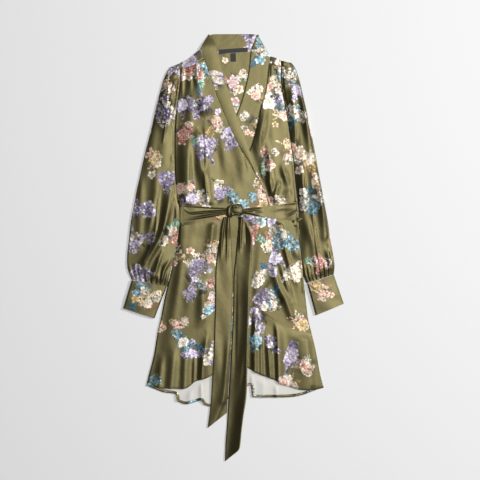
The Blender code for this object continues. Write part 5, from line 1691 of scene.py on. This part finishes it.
def stitched(name, node, lines, kind="thread", pitch=0.0027):
    """Sew rows of stitches along lines of millimetre points."""
    points, edges = [], []
    for line in lines:
        first = len(points)
        points.extend(line * MM)
        edges.extend((first + k, first + k + 1) for k in range(len(line) - 1))
    mesh = bpy.data.meshes.new(name)
    mesh.from_pydata([tuple(p) for p in points], edges, [])
    piece = bpy.data.objects.new(name, mesh)
    bpy.context.scene.collection.objects.link(piece)
    tree = stitch_tree()
    rows = piece.modifiers.new("Stitches", "NODES")
    rows.node_group = tree
    values = {"Pitch": pitch, "Length": 0.7 * pitch, "Thread": 0.0005, "Seed": len(name),
              "Finish": finish_of(kind)}
    for socket in tree.interface.items_tree:
        if socket.name in values:
            rows[socket.identifier] = values[socket.name]
    ready = piece.evaluated_get(bpy.context.evaluated_depsgraph_get())
    sewn = bpy.data.meshes.new_from_object(ready)
    piece.modifiers.remove(rows)
    piece.data = sewn
    bpy.data.meshes.remove(mesh)
    return placed(piece, node)


def make_stitches():
    """Stitches along the bands, hems, cuffs, belt and label."""
    for node in ("front_band_right", "front_band_left"):
        stitched(node + "_stitches", node,
                 [line_along(node, "left", 2.6), line_along(node, "right", 2.6)])
    for node in ("flounce_right", "flounce_left"):
        stitched(node + "_hem_stitches", node, [line_along(node, "bottom", 4.0)], pitch=0.003)
    stitched("collar_stitches", "back_collar",
             [line_along("back_collar", "top", 2.4), line_along("back_collar", "bottom", 2.0)])
    for node in ("cuff_right", "cuff_left"):
        stitched(node + "_stitches", node,
                 [line_along(node, "top", 2.6), line_along(node, "bottom", 2.6)])
    for node in ("belt_front_right", "belt_front_left"):
        stitched(node + "_stitches", node,
                 [line_along(node, "top", 1.6), line_along(node, "bottom", 1.6)])
    for node in ("belt_tail_right", "belt_tail_left"):
        stitched(node + "_stitches", node,
                 [line_along(node, side, 2.8) for side in ("left", "right")]
                 + [line_along(node, "bottom", 2.0)])
    stitched("label_stitches", "main_label",
             [line_along("main_label", side, 1.2) for side in ("left", "right")],
             "label_tape", 0.0016)
    stitched("back_hem_stitches", "back_flounce", [line_along("back_hem_fold", "bottom", 1.4)],
             pitch=0.003)


# Add-on classes

class DressCloth(bpy.types.PropertyGroup):
    """Sizes and colours of the cloth."""
    wall: bpy.props.FloatProperty(
        name="Cloth thickness", description="Thickness of one layer of satin",
        default=0.0006, min=0.0003, max=0.0012, unit="LENGTH")
    spacing: bpy.props.FloatProperty(
        name="Mesh spacing", description="Distance between mesh points on the printed cloth",
        default=0.0024, min=0.0012, max=0.006, unit="LENGTH")
    olive: bpy.props.FloatVectorProperty(
        name="Ground", description="Ground colour of the satin", subtype="COLOR",
        default=(0.372, 0.345, 0.228), min=0.0, max=1.0)
    wrong_side: bpy.props.FloatVectorProperty(
        name="Wrong side", description="Colour of the cloth's wrong side", subtype="COLOR",
        default=(0.80, 0.79, 0.765), min=0.0, max=1.0)
    label: bpy.props.FloatVectorProperty(
        name="Label", description="Colour of the bare label tape", subtype="COLOR",
        default=(0.055, 0.05, 0.06), min=0.0, max=1.0)
    thread: bpy.props.FloatVectorProperty(
        name="Thread", description="Colour of the sewing thread", subtype="COLOR",
        default=(0.50, 0.46, 0.28), min=0.0, max=1.0)


class DressStage(bpy.types.PropertyGroup):
    """Floor, lights and camera."""
    floor: bpy.props.FloatVectorProperty(
        name="Floor", description="Colour of the floor", subtype="COLOR",
        default=(0.88, 0.88, 0.88), min=0.0, max=1.0)
    key_power: bpy.props.FloatProperty(
        name="Key light", description="Power of the main light", default=222.0, min=0.0,
        unit="POWER")
    distance: bpy.props.FloatProperty(
        name="Camera height", description="Height of the camera above the floor",
        default=4.0, min=1.0, unit="LENGTH")


def operator_for(identifier, label, text, work):
    """Make an operator class that runs one maker function."""
    def execute(self, context):
        work()
        return {"FINISHED"}

    return type("DRESS_OT_" + identifier, (bpy.types.Operator,), {
        "bl_idname": "dress." + identifier, "bl_label": label, "__doc__": text,
        "bl_options": {"REGISTER", "UNDO"}, "execute": execute})


def aimed_light(name, place, size, power, colour):
    """A square area light that looks at the middle of the dress."""
    data = bpy.data.lights.new(name, "AREA")
    data.size, data.energy, data.color = size, power, colour
    lamp = bpy.data.objects.new(name, data)
    lamp.location = place
    lamp.rotation_euler = (-Vector(place)).to_track_quat("-Z", "Y").to_euler()
    bpy.context.scene.collection.objects.link(lamp)


def make_stage():
    """A pale floor, soft studio light and a camera straight above."""
    settings = bpy.context.scene.dress_stage
    mesh = bpy.data.meshes.new("floor")
    reach = 6.0
    mesh.from_pydata([(-reach, -reach, -0.0005), (reach, -reach, -0.0005), (reach, reach, -0.0005),
                      (-reach, reach, -0.0005)], [], [(0, 1, 2, 3)])
    floor = bpy.data.objects.new("floor", mesh)
    material = matte("floor_paper", settings.floor, 0.9, 0.0)
    mesh.materials.append(material)
    bpy.context.scene.collection.objects.link(floor)
    world = bpy.data.worlds.new("studio")
    world.use_nodes = True
    world.node_tree.nodes["Background"].inputs["Color"].default_value = (1.0, 1.0, 1.0, 1.0)
    world.node_tree.nodes["Background"].inputs["Strength"].default_value = 0.05
    bpy.context.scene.world = world
    aimed_light("key", (0.9, 0.7, 5.2), 2.2, 0.92 * settings.key_power, (1.0, 1.0, 1.0))
    aimed_light("side", (5.2, 1.8, 4.0), 1.2, 1.3 * settings.key_power, (1.0, 1.0, 1.0))
    bpy.context.scene.view_settings.view_transform = "Standard"
    camera = bpy.data.cameras.new("camera")
    camera.sensor_width = 36.0
    frame_width = 480 * 0.0027
    camera.lens = camera.sensor_width * settings.distance / frame_width
    camera.clip_end = 50.0
    holder = bpy.data.objects.new("camera", camera)
    holder.location = (0.01755, 0.0209, settings.distance + 0.006)
    bpy.context.scene.collection.objects.link(holder)
    bpy.context.scene.camera = holder


STEPS = (
    ("back", "Back", "Lay the back bodice, skirt and flounce", make_back),
    ("neck", "Neck", "Lay the facing, the collar and the bare labels", make_neck),
    ("bands", "Bands", "Lay the doubled front bands", make_bands),
    ("fronts", "Fronts", "Lay both bodice fronts and their yokes", make_fronts),
    ("skirts", "Skirts", "Lay both skirt fronts", make_skirts),
    ("flounces", "Flounces", "Lay the front flounces", make_flounces),
    ("sleeves", "Sleeves", "Lay both sleeves", make_sleeves),
    ("cuffs", "Cuffs", "Lay both cuffs", make_cuffs),
    ("belt", "Belt", "Lay the belt and its loops", make_belt),
    ("tails", "Tails", "Lay the two ends of the belt", make_tails),
    ("knot", "Knot", "Tie the knot", make_knot),
    ("stitches", "Stitches", "Sew the rows of stitches", make_stitches),
    ("stage", "Stage", "Add the floor, the lights and the camera", make_stage),
)
OPERATORS = [operator_for(*step) for step in STEPS]


class DRESS_PT_panel(bpy.types.Panel):
    """Sidebar panel with the settings and one button for each step."""
    bl_idname = "DRESS_PT_panel"
    bl_label = "Wrap dress"
    bl_space_type = "VIEW_3D"
    bl_region_type = "UI"
    bl_category = "Dress"

    def draw(self, context):
        for group in (context.scene.dress_cloth, context.scene.dress_stage):
            for key in group.__annotations__:
                self.layout.prop(group, key)
        for identifier, label, _, _ in STEPS:
            self.layout.operator("dress." + identifier, text=label)


CLASSES = [DressCloth, DressStage, *OPERATORS, DRESS_PT_panel]


def register():
    """Register the classes and hang the settings on the scene."""
    for item in CLASSES:
        bpy.utils.register_class(item)
    bpy.types.Scene.dress_cloth = bpy.props.PointerProperty(type=DressCloth)
    bpy.types.Scene.dress_stage = bpy.props.PointerProperty(type=DressStage)


def unregister():
    """Take the settings and the classes away."""
    del bpy.types.Scene.dress_stage
    del bpy.types.Scene.dress_cloth
    for item in reversed(CLASSES):
        bpy.utils.unregister_class(item)


def main():
    """Register, build every piece in order and note the sizes."""
    register()
    for identifier, _, _, _ in STEPS:
        getattr(bpy.ops.dress, identifier)()


if __name__ == "__main__":
    main()
